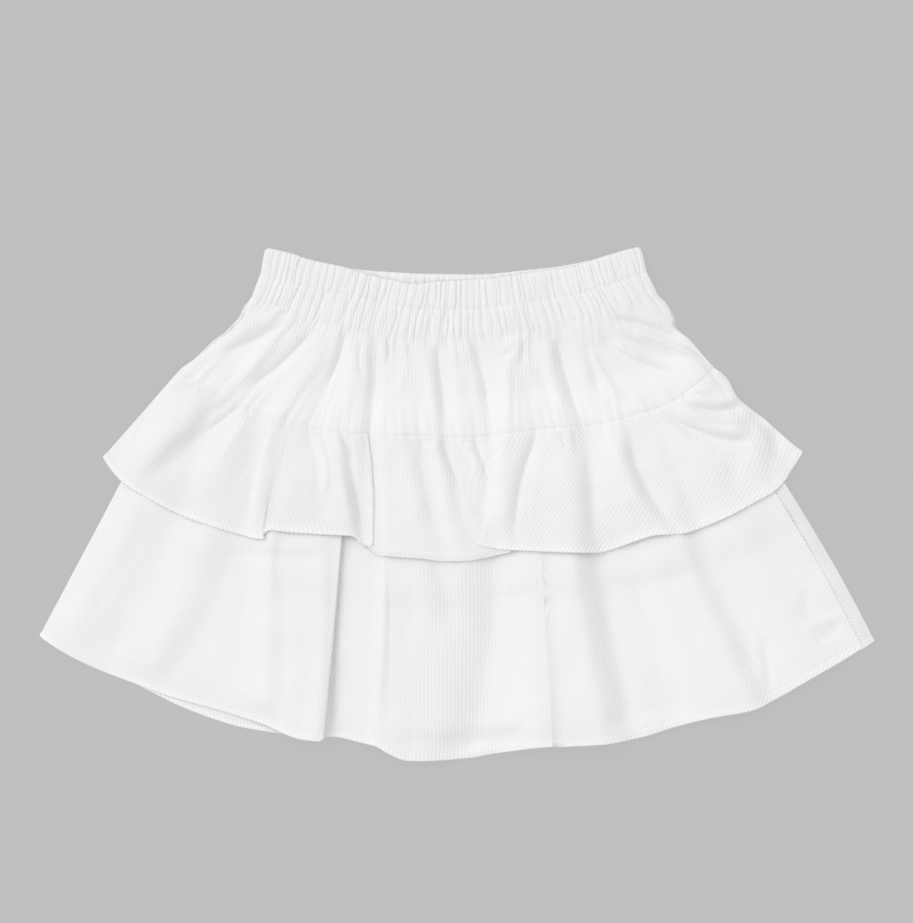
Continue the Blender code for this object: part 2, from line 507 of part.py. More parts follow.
def main():
    for old in list(bpy.data.objects):
        bpy.data.objects.remove(old, do_unlink=True)

    half = CLOTH / 2
    seam = SEAM_GAP / 2

    # Waistband: back on the surface, front on top of it.
    band("waistband_back", BACK_TOP_LINE, 0.0, BAND_UNDER, CRINKLES_BACK, 2)
    front_base = BAND_UNDER + LAYER_GAP
    band("waistband_front", FRONT_TOP_LINE, front_base, BAND_OVER, CRINKLES_FRONT, 2)

    # Yoke: the back lies flat, the front rises to the waistband and to the
    # seam where the tiers start.
    v = np.linspace(0, 1, 5)
    grid = fold_grid(YOKE_BACK_FOLDS, WAIST_LINE, SEAM_LINE, 3, v, 0.5, seam, seam, YOKE_SIDES)
    grid[:, :, 2] += half
    up, down = wall(grid, CLOTH)
    down[:, :, 2] = 0.0    # pressed flat on the surface
    sheet_object("yoke_back", up, down)
    yoke = HeightMap()
    yoke.add(up)
    rest = yoke.rest(REACH, 2)
    v = np.linspace(0, 1, 7)
    grid = fold_grid(YOKE_FRONT_FOLDS, WAIST_LINE, SEAM_LINE, 2, v, 0.5, seam, seam, YOKE_SIDES)
    lift = 2.6 * (1 - ease(v / 0.3)) + 2.2 * ease((v - 0.62) / 0.38)
    grid[:, :, 2] += yoke.sample(rest, grid[:, :, 0], grid[:, :, 1])
    grid[:, :, 2] += LAYER_GAP + half + lift
    sheet_object("yoke_front", *wall(grid, CLOTH))

    # Tiers, from the surface up: back ruffle, back lower tier, front lower
    # tier, front ruffle.
    tiers = HeightMap()
    v = np.linspace(0, 1, 6)
    grid = fold_grid(RUFFLE_BACK_FOLDS, SEAM_LINE, None, 2, v, 0.5, seam, 0.0, RUFFLE_SIDES)
    grid[:, :, 2] += half
    up, down = wall(grid, CLOTH)
    down[:, :, 2] = 0.0
    sheet_object("ruffle_back", up, down)
    tiers.add(up)

    v = np.array((0.0, 0.15, 0.3, DROP[0], DROP[1], 0.65, 0.77, 0.89, 1.0))
    grid = fold_grid(LOWER_BACK_FOLDS, SEAM_LINE, None, 2, v, 0.38, seam, 0.0)
    last = grid[-1].copy()
    wrap = []
    for at_seam, at_hem, height in SIDE_WRAP:
        line = last.copy()
        line[:, 0] += at_seam + (at_hem - at_seam) * v
        line[:, 1] += 0.7 * at_hem * v
        line[:, 2] = height
        wrap.append(line)
    grid = np.concatenate([grid, np.array(wrap)])
    over = CLOTH + LAYER_GAP + max(row[6] for row in RUFFLE_BACK_FOLDS)
    over = over * (1 - ease((v - DROP[0]) / (DROP[1] - DROP[0])))
    grid[:, :, 2] += over + half
    up, down = wall(grid, CLOTH)
    rests = grid[:, :, 2] < half + 1.05
    down[:, :, 2] = np.where(rests, 0.0, np.maximum(down[:, :, 2], 0.0))
    sheet_object("lower_back", up, down)
    tiers.add(up[: -len(SIDE_WRAP)])
    strip = down[-len(SIDE_WRAP) - 1:]

    rest = tiers.rest(REACH, 2)
    v = np.array((0.0, 0.13, 0.26, 0.37, 0.47, 0.57, 0.68, 0.79, 0.9, 1.0))
    grid = fold_grid(LOWER_FRONT_FOLDS, SEAM_LINE, None, 2, v, 0.48, seam, 0.0)
    grid[:, :, 2] += tiers.sample(rest, grid[:, :, 0], grid[:, :, 1])
    grid[:, :, 2] += LAYER_GAP + half
    up, down = wall(grid, CLOTH)
    sheet_object("lower_front", up, down)
    tiers.add(up)
    tiers.add(strip)

    rest = tiers.rest(REACH, 2)
    v = np.linspace(0, 1, 7)
    grid = fold_grid(RUFFLE_FRONT_FOLDS, SEAM_LINE, None, 2, v, 0.5, seam, 0.0, RUFFLE_SIDES)
    grid[:, :, 2] += tiers.sample(rest, grid[:, :, 0], grid[:, :, 1])
    grid[:, :, 2] += LAYER_GAP + half
    sheet_object("ruffle_front", *wall(grid, CLOTH))


main()
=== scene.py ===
"""Looks of the tiered ruffle skirt: thin rib-knit shells on the forms of its eight pieces."""

import math

import bpy
import numpy as np
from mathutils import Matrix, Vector


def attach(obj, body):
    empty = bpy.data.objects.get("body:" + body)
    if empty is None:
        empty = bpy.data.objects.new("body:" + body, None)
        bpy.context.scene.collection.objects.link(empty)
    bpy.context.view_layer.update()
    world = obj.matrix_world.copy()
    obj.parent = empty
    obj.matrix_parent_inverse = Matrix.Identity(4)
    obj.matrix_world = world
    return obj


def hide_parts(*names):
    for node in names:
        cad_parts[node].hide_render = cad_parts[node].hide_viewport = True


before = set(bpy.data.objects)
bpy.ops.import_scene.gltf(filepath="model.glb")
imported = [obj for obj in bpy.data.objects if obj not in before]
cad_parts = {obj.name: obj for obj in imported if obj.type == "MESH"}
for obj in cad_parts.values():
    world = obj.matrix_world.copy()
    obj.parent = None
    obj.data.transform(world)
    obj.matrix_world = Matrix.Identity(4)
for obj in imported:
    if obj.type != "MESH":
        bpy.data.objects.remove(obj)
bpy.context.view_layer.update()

# ---------------------------------------------------------------- sizes, mm
CLOTH = 1.05           # one layer of rib knit
HEM_EXTRA = 0.55       # more thickness in the turned hem
HEM_WIDTH = 3.6
LAYER_GAP = 0.4
SEAM_GAP = 0.3
BAND_UNDER = 3.0
BAND_OVER = 3.2
CENTRE = (0.6, 0.0)
CELL = 1.5             # grid of the height map that upper layers rest on
DROP = (0.43, 0.54)
RIB = 2.55             # one rib of the knit

SEAM_LINE = (          # yoke to ruffle and lower tier. Columns: x, y
    (-183.0, 90.0), (-169.0, 80.7), (-151.0, 70.0), (-136.3, 64.0),
    (-113.0, 55.3), (-93.7, 51.3), (-65.0, 47.3), (-13.0, 45.3),
    (2.3, 44.4), (29.7, 47.3), (67.7, 51.3), (88.3, 52.7),
    (111.7, 58.0), (133.0, 64.0), (144.3, 69.3), (156.3, 77.3),
    (171.7, 90.7),
)
WAIST_LINE = (
    (-136.3, 138.0), (-111.7, 129.3), (-88.3, 122.0), (-60.3, 115.3),
    (-41.7, 111.3), (-16.3, 110.7), (9.0, 112.0), (42.3, 115.3),
    (63.0, 118.8), (89.0, 125.6), (107.7, 130.8), (134.0, 139.4),
)
STITCH_LINE = (
    (-130.3, 154.0), (-99.7, 144.7), (-64.3, 137.3), (-24.3, 130.0),
    (9.0, 129.3), (29.0, 132.0), (51.7, 135.3), (75.7, 138.7),
    (95.7, 144.0), (126.7, 154.5),
)
FRONT_TOP_LINE = (
    (-127.0, 171.3), (-111.7, 168.0), (-97.7, 163.3), (-76.3, 158.7),
    (-63.0, 154.7), (-43.7, 150.0), (-27.7, 147.0), (-13.7, 148.7),
    (2.3, 149.6), (23.7, 151.1), (51.7, 155.3), (73.7, 158.0),
    (95.7, 164.7), (107.7, 168.3), (122.3, 172.0),
)
BACK_TOP_LINE = (
    (-127.0, 170.8), (-111.7, 167.5), (-97.7, 163.0), (-69.7, 157.3),
    (-46.3, 155.3), (-19.0, 154.0), (14.3, 153.6), (48.3, 156.7),
    (67.0, 158.7), (93.7, 164.0), (107.7, 168.0), (122.3, 171.4),
)

# One row for each ridge, trough, fold edge, turn-under or side edge. Heights
# are above what the layer rests on. grain is the way the ribs run, in degrees
# from +X, seen from above.
#   name, x_top, x_mid, x_hem, y_hem, z_top, z_mid, z_hem, grain
LOWER_FRONT_FOLDS = (
    ("side", -183.0, None, -277.9, -88.5, 0.0, 0.0, 0.0, 117),
    ("ridge", -176.0, -213.0, -263.0, -98.5, 0.6, 3.2, 3.2, 117),
    ("trough", -162.0, -191.0, -240.0, -110.0, 0.0, 0.2, 0.3, 117),
    ("ridge", -148.0, -168.0, -213.0, -120.2, 1.0, 3.6, 4.0, 116),
    ("trough", -138.0, -147.0, -195.0, -127.2, 0.2, 0.2, 0.3, 115),
    ("rise", -131.0, -138.0, -158.0, -137.5, 0.5, 1.4, 1.0, 114),
    ("ridge", -114.0, -124.0, -127.0, -147.5, 1.2, 5.4, 6.2, 112),
    ("crease", -110.5, -118.8, -120.0, -150.5, 1.0, 4.6, 5.6, 110),
    ("ridge", -91.0, None, -104.3, -156.5, 1.2, 4.4, 6.6, 107),
    ("crest", -77.0, None, -92.0, -157.8, 1.6, 4.9, 9.2, 106),
    ("fold edge", -69.7, None, -87.7, -155.3, 1.6, 4.7, 8.7, 105),
    ("turn under", -73.7, None, -95.7, -155.3, 1.0, 2.4, 4.3, 96),
    ("valley", -68.5, None, -81.7, -155.3, 0.0, 0.0, 0.3, 90),
    ("rise", -63.0, None, -68.3, -158.0, 0.4, 0.8, 1.2, 90),
    ("foot", -54.0, -55.0, -61.0, -159.7, 0.5, 1.6, 2.2, 90),
    ("ridge", -47.0, -48.8, -54.5, -161.0, 1.4, 5.2, 6.4, 90),
    ("crest", -43.0, -43.0, -44.5, -166.6, 1.5, 5.4, 6.8, 90),
    ("ridge", -31.0, -28.0, -33.0, -170.9, 1.4, 5.0, 6.2, 90),
    ("ridge", -6.0, 3.0, -21.0, -171.2, 1.4, 4.8, 6.0, 90),
    ("trough", 15.0, 25.0, 8.0, -169.5, 0.0, 0.2, 0.2, 90),
    ("rise", 27.0, 36.0, 24.0, -166.6, 0.5, 2.2, 2.2, 90),
    ("ridge", 42.0, 53.0, 54.0, -162.2, 1.6, 7.0, 8.8, 90),
    ("crease", 47.6, 57.9, 64.4, -161.4, 1.6, 7.2, 9.2, 88),
    ("foot", 48.9, 59.2, 65.8, -161.4, 1.6, 7.1, 9.05, 82),
    ("crest", 53.0, 63.6, 70.4, -161.5, 1.6, 7.1, 9.0, 74),
    ("ridge", 65.0, 79.0, 97.0, -160.0, 1.6, 8.0, 9.6, 70),
    ("trough", 79.0, 98.0, 123.0, -155.6, 0.3, 1.0, 1.3, 70),
    ("foot", 92.0, 116.0, 146.0, -148.6, 0.0, 0.0, 0.0, 70),
    ("ridge", 106.0, 134.0, 170.0, -142.5, 1.2, 4.4, 5.6, 69),
    ("ridge", 118.0, 152.0, 197.0, -137.4, 1.2, 5.4, 7.0, 68),
    ("trough", 127.0, 167.5, 213.5, -129.8, 0.0, 0.0, 0.2, 68),
    ("ridge", 145.0, 192.3, 237.0, -116.0, 0.8, 2.6, 4.0, 67),
    ("foot", 155.0, 209.5, 257.0, -104.7, 0.3, 0.8, 1.4, 66),
    ("side", 161.3, 221.5, 270.6, -96.2, 0.0, 0.0, 0.0, 66),
)
RUFFLE_FRONT_FOLDS = (
    ("side", -183.0, None, -235.7, 30.7, 0.0, 0.0, 0.0, 120),
    ("ridge", -179.0, None, -229.7, 22.0, 0.6, 1.4, 1.4, 119),
    ("ridge", -158.0, -190.0, -221.0, 13.6, 1.2, 4.8, 3.2, 117),
    ("trough", -146.0, -176.0, -209.0, 6.2, 0.4, 0.2, 0.2, 114),
    ("ridge", -136.0, -155.0, -181.0, -8.3, 1.0, 3.6, 2.6, 112),
    ("trough", -131.0, -140.0, -158.0, -16.0, 0.6, 1.8, 1.6, 114),
    ("rise", -124.0, -133.5, -143.5, -20.3, 0.8, 1.8, 1.7, 117),
    ("ridge", -120.0, -130.5, -134.0, -22.8, 1.6, 3.8, 3.6, 119),
    ("fold edge", -114.3, -124.0, -127.7, -23.3, 0.9, 2.3, 2.2, 120),
    ("tuck", -113.2, -122.6, -129.6, -22.0, 0.8, 1.9, 1.6, 119),
    ("valley", -111.0, -119.8, -123.5, -17.3, 0.6, 1.4, 1.1, 118),
    ("ridge", -104.3, -107.7, -109.7, -18.7, 1.0, 2.2, 2.4, 117),
    ("crease", -98.0, -92.0, -93.5, -19.8, 0.6, 1.4, 1.6, 118),
    ("ridge", -83.0, -77.0, -69.5, -21.3, 1.8, 5.6, 5.8, 125),
    ("trough", -76.0, -69.0, -63.5, -26.0, 0.5, 0.8, 1.0, 123),
    ("flap", -69.0, -62.5, -60.0, -28.0, 1.2, 2.5, 2.4, 112),
    ("fold edge", -59.0, -55.0, -54.7, -26.7, 1.1, 2.2, 2.5, 106),
    ("turn under", -60.0, -57.0, -59.0, -28.0, 0.7, 1.3, 1.6, 106),
    ("valley", -56.5, -52.5, -51.3, -34.0, 0.2, 0.3, 0.4, 106),
    ("ridge", -48.0, -46.0, -43.0, -34.7, 1.4, 3.4, 2.8, 106),
    ("ridge", -37.0, -30.0, -22.0, -36.2, 1.4, 3.6, 2.8, 107),
    ("trough", -24.0, -15.0, -8.0, -37.9, 0.4, 0.8, 1.0, 107),
    ("ridge", -16.0, -7.0, 3.0, -37.8, 1.3, 2.8, 2.0, 107),
    ("trough", -9.0, 1.0, 14.0, -36.7, 0.4, 0.7, 0.8, 106),
    ("ridge", 0.0, 5.5, 26.0, -34.2, 0.7, 0.9, 1.3, 105),
    ("valley", 8.0, 8.5, 37.5, -31.3, 0.5, 0.7, 0.3, 98),
    ("tuck", 16.0, 15.5, 25.0, -29.5, 0.8, 1.4, 1.3, 84),
    ("fold edge", 24.0, 22.5, 13.7, -26.7, 1.2, 2.4, 2.4, 70),
    ("ridge", 33.0, 30.0, 30.0, -30.2, 2.0, 5.0, 5.0, 61),
    ("trough", 52.0, 44.5, 43.0, -30.8, 0.4, 0.8, 1.0, 60),
    ("ridge", 70.5, 75.0, 77.0, -32.0, 1.4, 3.4, 3.6, 53),
    ("trough", 87.5, 91.0, 94.0, -32.3, 0.3, 0.4, 0.4, 54),
    ("ridge", 105.0, 112.0, 133.0, -20.6, 1.6, 5.0, 4.4, 58),
    ("trough", 116.0, 127.0, 150.0, -19.6, 0.3, 0.3, 0.4, 56),
    ("ridge", 130.0, 155.0, 180.0, -8.5, 1.2, 2.8, 2.6, 57),
    ("trough", 145.0, 173.0, 197.0, 0.5, 0.5, 1.0, 0.8, 60),
    ("ridge", 156.0, None, 214.0, 10.5, 0.9, 1.6, 1.2, 64),
    ("side", 171.7, 198.5, 231.0, 34.0, 0.0, 0.0, 0.0, 66),
)
#   name, x_top, x_mid, x_hem, z_top, z_mid, z_hem, grain
YOKE_FRONT_FOLDS = (
    ("side", -136.3, -156.0, -183.0, 0.0, 0.0, 0.0, 60),
    ("ridge", -125.7, None, -171.0, 0.6, 1.6, 1.0, 62),
    ("trough", -115.0, -139.0, -163.0, 0.4, 0.8, 0.6, 63),
    ("ridge", -107.0, None, -153.7, 0.9, 3.4, 2.0, 64),
    ("trough", -98.3, -122.3, -147.0, 0.3, 0.2, 0.3, 66),
    ("ridge", -85.7, -100.3, -120.3, 0.9, 3.6, 2.2, 70),
    ("trough", -75.0, -84.3, -99.0, 0.3, 0.3, 0.4, 74),
    ("ridge", -65.0, -70.0, -74.5, 1.2, 4.4, 4.4, 80),
    ("fold edge", -59.5, -61.5, -65.5, 1.1, 4.1, 3.9, 82),
    ("valley", -53.0, -54.6, -58.0, 0.2, 0.0, 0.0, 87),
    ("ridge", -43.0, -45.5, -45.5, 0.9, 3.2, 3.8, 87),
    ("crest", -20.5, -18.5, -14.5, 0.9, 3.4, 3.7, 89),
    ("trough", -12.5, -9.5, -4.8, 0.3, 0.2, 0.3, 91),
    ("ridge", -3.0, None, 7.0, 1.0, 3.7, 3.0, 91),
    ("trough", 9.0, 17.7, 21.0, 0.3, 0.3, 0.8, 92),
    ("rise", 24.0, 28.0, 30.0, 0.8, 2.8, 2.8, 91),
    ("crease", 36.3, 36.2, 36.9, 0.9, 4.0, 4.4, 90),
    ("valley", 49.0, 51.0, 58.0, 0.4, 1.4, 1.6, 91),
    ("ridge", 58.0, 63.5, 73.0, 1.0, 3.4, 3.4, 94),
    ("trough", 64.5, 72.3, 82.3, 0.3, 0.2, 0.1, 97),
    ("ridge", 77.0, 84.5, 92.5, 0.9, 2.6, 2.4, 102),
    ("crease", 89.0, 94.3, 99.0, 0.4, 1.2, 1.4, 106),
    ("trough", 97.0, 108.5, 122.3, 0.6, 1.3, 1.0, 112),
    ("ridge", 105.0, 122.3, 138.3, 0.8, 1.9, 1.4, 117),
    ("trough", 114.3, 131.0, 153.0, 0.5, 1.1, 0.7, 121),
    ("ridge", 125.5, None, 163.7, 0.6, 1.4, 0.8, 124),
    ("side", 134.0, 151.0, 171.7, 0.0, 0.0, 0.0, 126),
)
YOKE_BACK_FOLDS = (
    ("side", -135.9, None, -182.4, 0.0, 0.0, 0.0, 60),
    ("ridge", -112.0, -130.0, -150.0, 0.3, 0.7, 0.5, 65),
    ("trough", -92.0, None, -124.0, 0.0, 0.0, 0.0, 70),
    ("ridge", -66.0, None, -80.0, 0.3, 0.8, 0.6, 78),
    ("trough", -44.0, None, -55.0, 0.0, 0.0, 0.0, 83),
    ("ridge", -18.0, None, -24.0, 0.3, 0.7, 0.6, 88),
    ("trough", 4.0, None, 8.0, 0.0, 0.0, 0.0, 91),
    ("ridge", 30.0, None, 40.0, 0.3, 0.8, 0.6, 94),
    ("trough", 58.0, None, 74.0, 0.0, 0.0, 0.0, 99),
    ("ridge", 84.0, None, 112.0, 0.3, 0.7, 0.5, 109),
    ("trough", 108.0, None, 142.0, 0.0, 0.0, 0.0, 117),
    ("side", 133.6, None, 171.1, 0.0, 0.0, 0.0, 125),
)
RUFFLE_BACK_FOLDS = (
    ("side", -182.4, None, -233.5, 31.0, 0.0, 0.0, 0.0, 118),
    ("ridge", -160.0, None, -214.0, 13.0, 0.2, 0.6, 0.7, 116),
    ("trough", -134.0, None, -170.0, -7.0, 0.0, 0.0, 0.0, 114),
    ("ridge", -108.0, None, -134.0, -17.0, 0.3, 0.7, 0.9, 112),
    ("trough", -80.0, None, -96.0, -19.0, 0.0, 0.0, 0.0, 108),
    ("ridge", -54.0, None, -60.0, -22.0, 0.3, 0.7, 0.9, 103),
    ("trough", -26.0, None, -28.0, -31.0, 0.0, 0.0, 0.0, 97),
    ("ridge", 4.0, None, 6.0, -32.0, 0.3, 0.7, 0.9, 90),
    ("trough", 34.0, None, 42.0, -27.0, 0.0, 0.0, 0.0, 83),
    ("ridge", 64.0, None, 80.0, -27.0, 0.3, 0.7, 0.9, 76),
    ("trough", 94.0, None, 120.0, -23.0, 0.0, 0.0, 0.0, 70),
    ("ridge", 124.0, None, 162.0, -11.0, 0.3, 0.6, 0.8, 66),
    ("trough", 150.0, None, 202.0, 6.0, 0.0, 0.0, 0.0, 64),
    ("side", 170.5, 196.0, 228.5, 34.0, 0.0, 0.0, 0.0, 62),
)
LOWER_BACK_FOLDS = (
    ("side", -182.4, None, -274.0, -91.5, 0.0, 0.0, 0.0, 117),
    ("ridge", -164.0, None, -246.0, -104.0, 0.2, 0.5, 0.8, 115),
    ("trough", -146.0, None, -210.0, -122.0, 0.0, 0.0, 0.0, 113),
    ("ridge", -128.0, None, -180.0, -136.5, 0.2, 0.5, 1.0, 110),
    ("trough", -108.0, None, -140.0, -149.5, 0.0, 0.0, 0.0, 106),
    ("ridge", -84.0, None, -108.0, -153.5, 0.2, 0.5, 1.0, 102),
    ("trough", -56.0, None, -72.0, -154.0, 0.0, 0.0, 0.0, 98),
    ("ridge", -28.0, None, -34.0, -166.0, 0.2, 0.5, 1.0, 94),
    ("trough", 0.0, None, 0.0, -167.0, 0.0, 0.0, 0.0, 90),
    ("ridge", 28.0, None, 40.0, -160.0, 0.2, 0.5, 1.0, 86),
    ("trough", 58.0, None, 84.0, -158.0, 0.0, 0.0, 0.0, 82),
    ("ridge", 88.0, None, 128.0, -150.0, 0.2, 0.5, 1.0, 77),
    ("trough", 112.0, None, 170.0, -139.0, 0.0, 0.0, 0.0, 73),
    ("ridge", 134.0, None, 208.0, -128.0, 0.2, 0.5, 0.8, 69),
    ("trough", 148.0, 199.0, 244.0, -110.0, 0.0, 0.0, 0.0, 66),
    ("under", 161.0, 222.0, 272.0, -96.0, 0.0, 0.0, 0.0, 64),
)
SIDE_WRAP = (          # columns: out from the last row at seam, at hem, height
    (0.0, 0.0, 0.0),
    (7.6, 4.8, 0.4),
    (10.4, 6.6, 0.9),
    (9.0, 5.0, 1.3),
    (4.2, 1.5, 1.75),
    (-1.5, -3.0, 0.6),
)

YOKE_SIDES = (         # columns: share down the side, left edge in, right edge in
    (0.00, 0.0, 0.0),
    (0.12, 0.6, -1.8),
    (0.30, 4.4, 0.0),
    (0.46, 4.6, 4.2),
    (0.62, 2.0, 0.8),
    (0.82, 1.4, 0.2),
    (1.00, 0.0, 0.0),
)
RUFFLE_SIDES = (       # the same for the ruffle
    (0.00, 0.0, 0.0),
    (0.08, 0.0, -2.0),
    (0.13, 0.0, -2.2),
    (0.19, 0.0, -1.2),
    (0.27, 0.0, 1.2),
    (0.36, 0.0, 3.0),
    (0.50, 0.0, 1.5),
    (0.63, 0.0, -0.4),
    (0.76, 0.0, -0.3),
    (0.90, 0.0, 0.0),
    (1.00, 0.0, 0.0),
)

# Creases that don't follow the folds above, placed on each panel. A line is a
# ridge, or a groove where its height is below 0. A wall drops to the left of
# the walk from point 1 to point 3, and its height is half the drop.
#   kind, x1, y1, x2, y2, x3, y3, height, width on the left, on the right
YOKE_CREASES = (
    ("wall", -111.0, 124.0, -136.5, 112.0, -164.5, 100.0, 1.9, 3.4, 6.0),
    ("wall", -96.5, 118.5, -119.0, 94.5, -145.5, 76.0, 1.8, 2.4, 5.0),
    ("wall", -81.0, 101.5, -99.0, 82.5, -111.0, 68.0, 0.5, 3.0, 4.5),
    ("wall", -74.5, 121.5, -79.5, 99.5, -89.0, 76.0, 1.7, 1.9, 3.6),
    ("line", -77.5, 94.5, -82.5, 79.5, -87.0, 64.0, 0.7, 1.6, 1.8),
    ("wall", -103.5, 128.0, -113.5, 116.0, -125.5, 105.5, 0.8, 1.8, 3.0),
    ("line", -62.5, 110.5, -65.0, 94.5, -59.5, 81.5, -1.3, 1.3, 1.6),
    ("line", -57.0, 108.0, -57.5, 94.5, -57.0, 82.5, -0.8, 1.2, 1.2),
    ("wall", -48.5, 114.5, -47.0, 104.0, -45.5, 93.5, 1.0, 1.4, 2.4),
    ("wall", -34.5, 116.0, -33.0, 106.0, -33.0, 94.5, 0.6, 1.4, 2.2),
    ("line", -29.5, 105.5, -35.0, 86.0, -39.0, 69.5, 0.5, 2.0, 2.0),
    ("wall", -15.0, 116.0, -13.0, 82.5, -7.0, 46.5, 1.3, 2.2, 4.0),
    ("wall", -0.5, 113.5, 1.0, 102.5, 1.0, 93.5, 0.5, 1.4, 2.4),
    ("wall", 6.5, 114.5, 15.0, 88.0, 21.0, 50.5, 1.5, 2.0, 4.0),
    ("wall", 37.0, 92.0, 37.0, 69.5, 37.0, 50.5, 0.5, 1.2, 3.6),
    ("wall", 45.0, 110.5, 42.5, 101.5, 41.5, 90.5, 0.8, 1.7, 2.8),
    ("wall", 39.5, 105.5, 34.5, 102.5, 27.5, 96.5, 0.6, 1.8, 2.8),
    ("line", 37.0, 102.5, 34.5, 92.5, 31.5, 79.5, 0.6, 1.8, 1.8),
    ("wall", 53.0, 101.5, 56.5, 79.5, 66.5, 61.5, 0.9, 3.0, 5.0),
    ("line", 53.0, 109.5, 61.0, 88.0, 66.5, 70.5, 0.8, 1.8, 2.0),
    ("wall", 64.5, 113.5, 70.5, 86.0, 83.0, 49.5, 1.7, 2.2, 5.2),
    ("wall", 83.5, 108.0, 89.0, 90.5, 95.5, 69.5, 0.8, 2.2, 4.0),
    ("line", 87.5, 105.5, 99.5, 82.5, 113.0, 65.5, 2.0, 2.8, 3.4),
    ("line", 95.5, 113.5, 107.5, 100.0, 127.5, 84.0, -1.2, 2.4, 2.4),
    ("line", 103.5, 109.5, 122.5, 98.0, 145.0, 90.5, 3.0, 1.6, 1.9),
    ("line", 107.5, 114.5, 130.5, 103.5, 155.5, 95.5, -2.3, 1.8, 1.8),
    ("line", 115.5, 116.0, 139.5, 107.5, 165.0, 96.5, 3.0, 1.6, 2.0),
    ("line", 101.0, 124.5, 127.5, 118.5, 155.5, 106.0, -2.7, 2.4, 2.6),
)
RUFFLE_CREASES = (
    ("wall", -137.5, -27.5, -132.5, 16.0, -126.5, 56.0, 0.5, 3.0, 4.0),
    ("wall", -74.5, 49.5, -69.5, 9.5, -63.5, -34.0, 1.0, 1.8, 3.0),
    ("wall", 15.5, -24.0, 23.5, 16.0, 29.0, 62.5, 0.5, 3.0, 4.0),
    ("wall", 94.5, -37.5, 93.5, 9.5, 93.0, 52.5, 0.7, 3.0, 6.0),
    ("line", -165.5, 80.5, -179.0, 78.0, -195.0, 76.0, -1.3, 1.5, 1.8),
    ("line", -167.0, 76.5, -179.0, 75.5, -191.0, 74.0, 0.8, 1.3, 1.4),
    ("line", -163.0, 85.5, -173.5, 84.5, -184.5, 80.5, -0.7, 1.5, 1.6),
    ("wall", -156.5, 73.5, -176.5, 53.5, -220.5, 10.5, 1.4, 6.0, 9.0),
    ("wall", -142.5, 68.0, -156.5, 57.5, -168.5, 48.0, 1.1, 1.8, 3.0),
    ("line", -137.5, 60.0, -149.5, 42.5, -165.5, 16.0, 0.7, 3.2, 3.2),
    ("line", -113.5, 49.5, -117.5, 32.5, -121.0, 16.0, 0.5, 1.2, 1.4),
    ("line", -96.5, 50.5, -86.5, 25.5, -90.5, -2.5, 1.2, 1.5, 1.9),
    ("line", -101.5, 49.5, -93.0, 24.0, -96.5, -1.5, -0.7, 2.0, 2.4),
    ("wall", -77.5, 48.0, -75.0, 38.5, -69.5, 30.5, 0.9, 1.5, 2.2),
    ("wall", -29.5, 41.5, -23.0, 9.5, -16.5, -18.5, 0.8, 3.0, 6.0),
    ("wall", -13.0, 44.0, -6.5, 28.0, 2.5, 6.5, 1.8, 1.8, 4.0),
    ("wall", 9.0, 44.0, 15.0, 30.5, 19.5, 16.0, 1.4, 1.6, 3.2),
    ("line", -5.0, 42.5, -1.0, 37.5, 2.5, 30.5, 0.6, 1.2, 1.2),
    ("wall", 53.0, 48.5, 40.5, 14.5, 36.5, -28.0, 1.7, 2.0, 5.0),
    ("line", 59.0, 42.5, 52.5, 16.0, 49.0, -17.5, 0.5, 2.5, 2.5),
    ("line", 69.0, 48.5, 70.5, 42.0, 72.5, 33.5, -0.9, 1.2, 1.2),
    ("line", 77.0, 49.5, 78.5, 42.5, 79.5, 34.5, -0.9, 1.2, 1.2),
    ("wall", 84.5, 46.0, 86.0, 2.5, 89.5, -32.0, 0.6, 2.2, 4.5),
    ("wall", 113.0, 48.5, 124.0, 8.5, 164.5, -44.5, 1.8, 3.0, 5.5),
    ("wall", 141.0, 53.5, 174.5, 29.5, 181.0, -2.5, 0.7, 5.0, 8.0),
    ("wall", 199.5, 45.5, 166.0, 48.5, 135.5, 65.5, 2.9, 3.0, 4.6),
    ("line", 198.0, 56.5, 169.0, 57.0, 143.5, 68.0, 2.2, 2.0, 2.6),
    ("wall", 193.0, 69.5, 170.5, 65.0, 150.0, 70.5, 2.4, 2.4, 3.4),
    ("line", 173.0, 76.5, 162.5, 76.0, 151.5, 73.5, 1.1, 1.5, 1.6),
    ("line", 169.5, 88.5, 174.5, 81.5, 182.5, 73.5, -1.1, 2.0, 2.4),
    ("wall", 208.5, 55.5, 208.0, 34.0, 200.5, 12.0, 1.6, 4.5, 6.5),
)
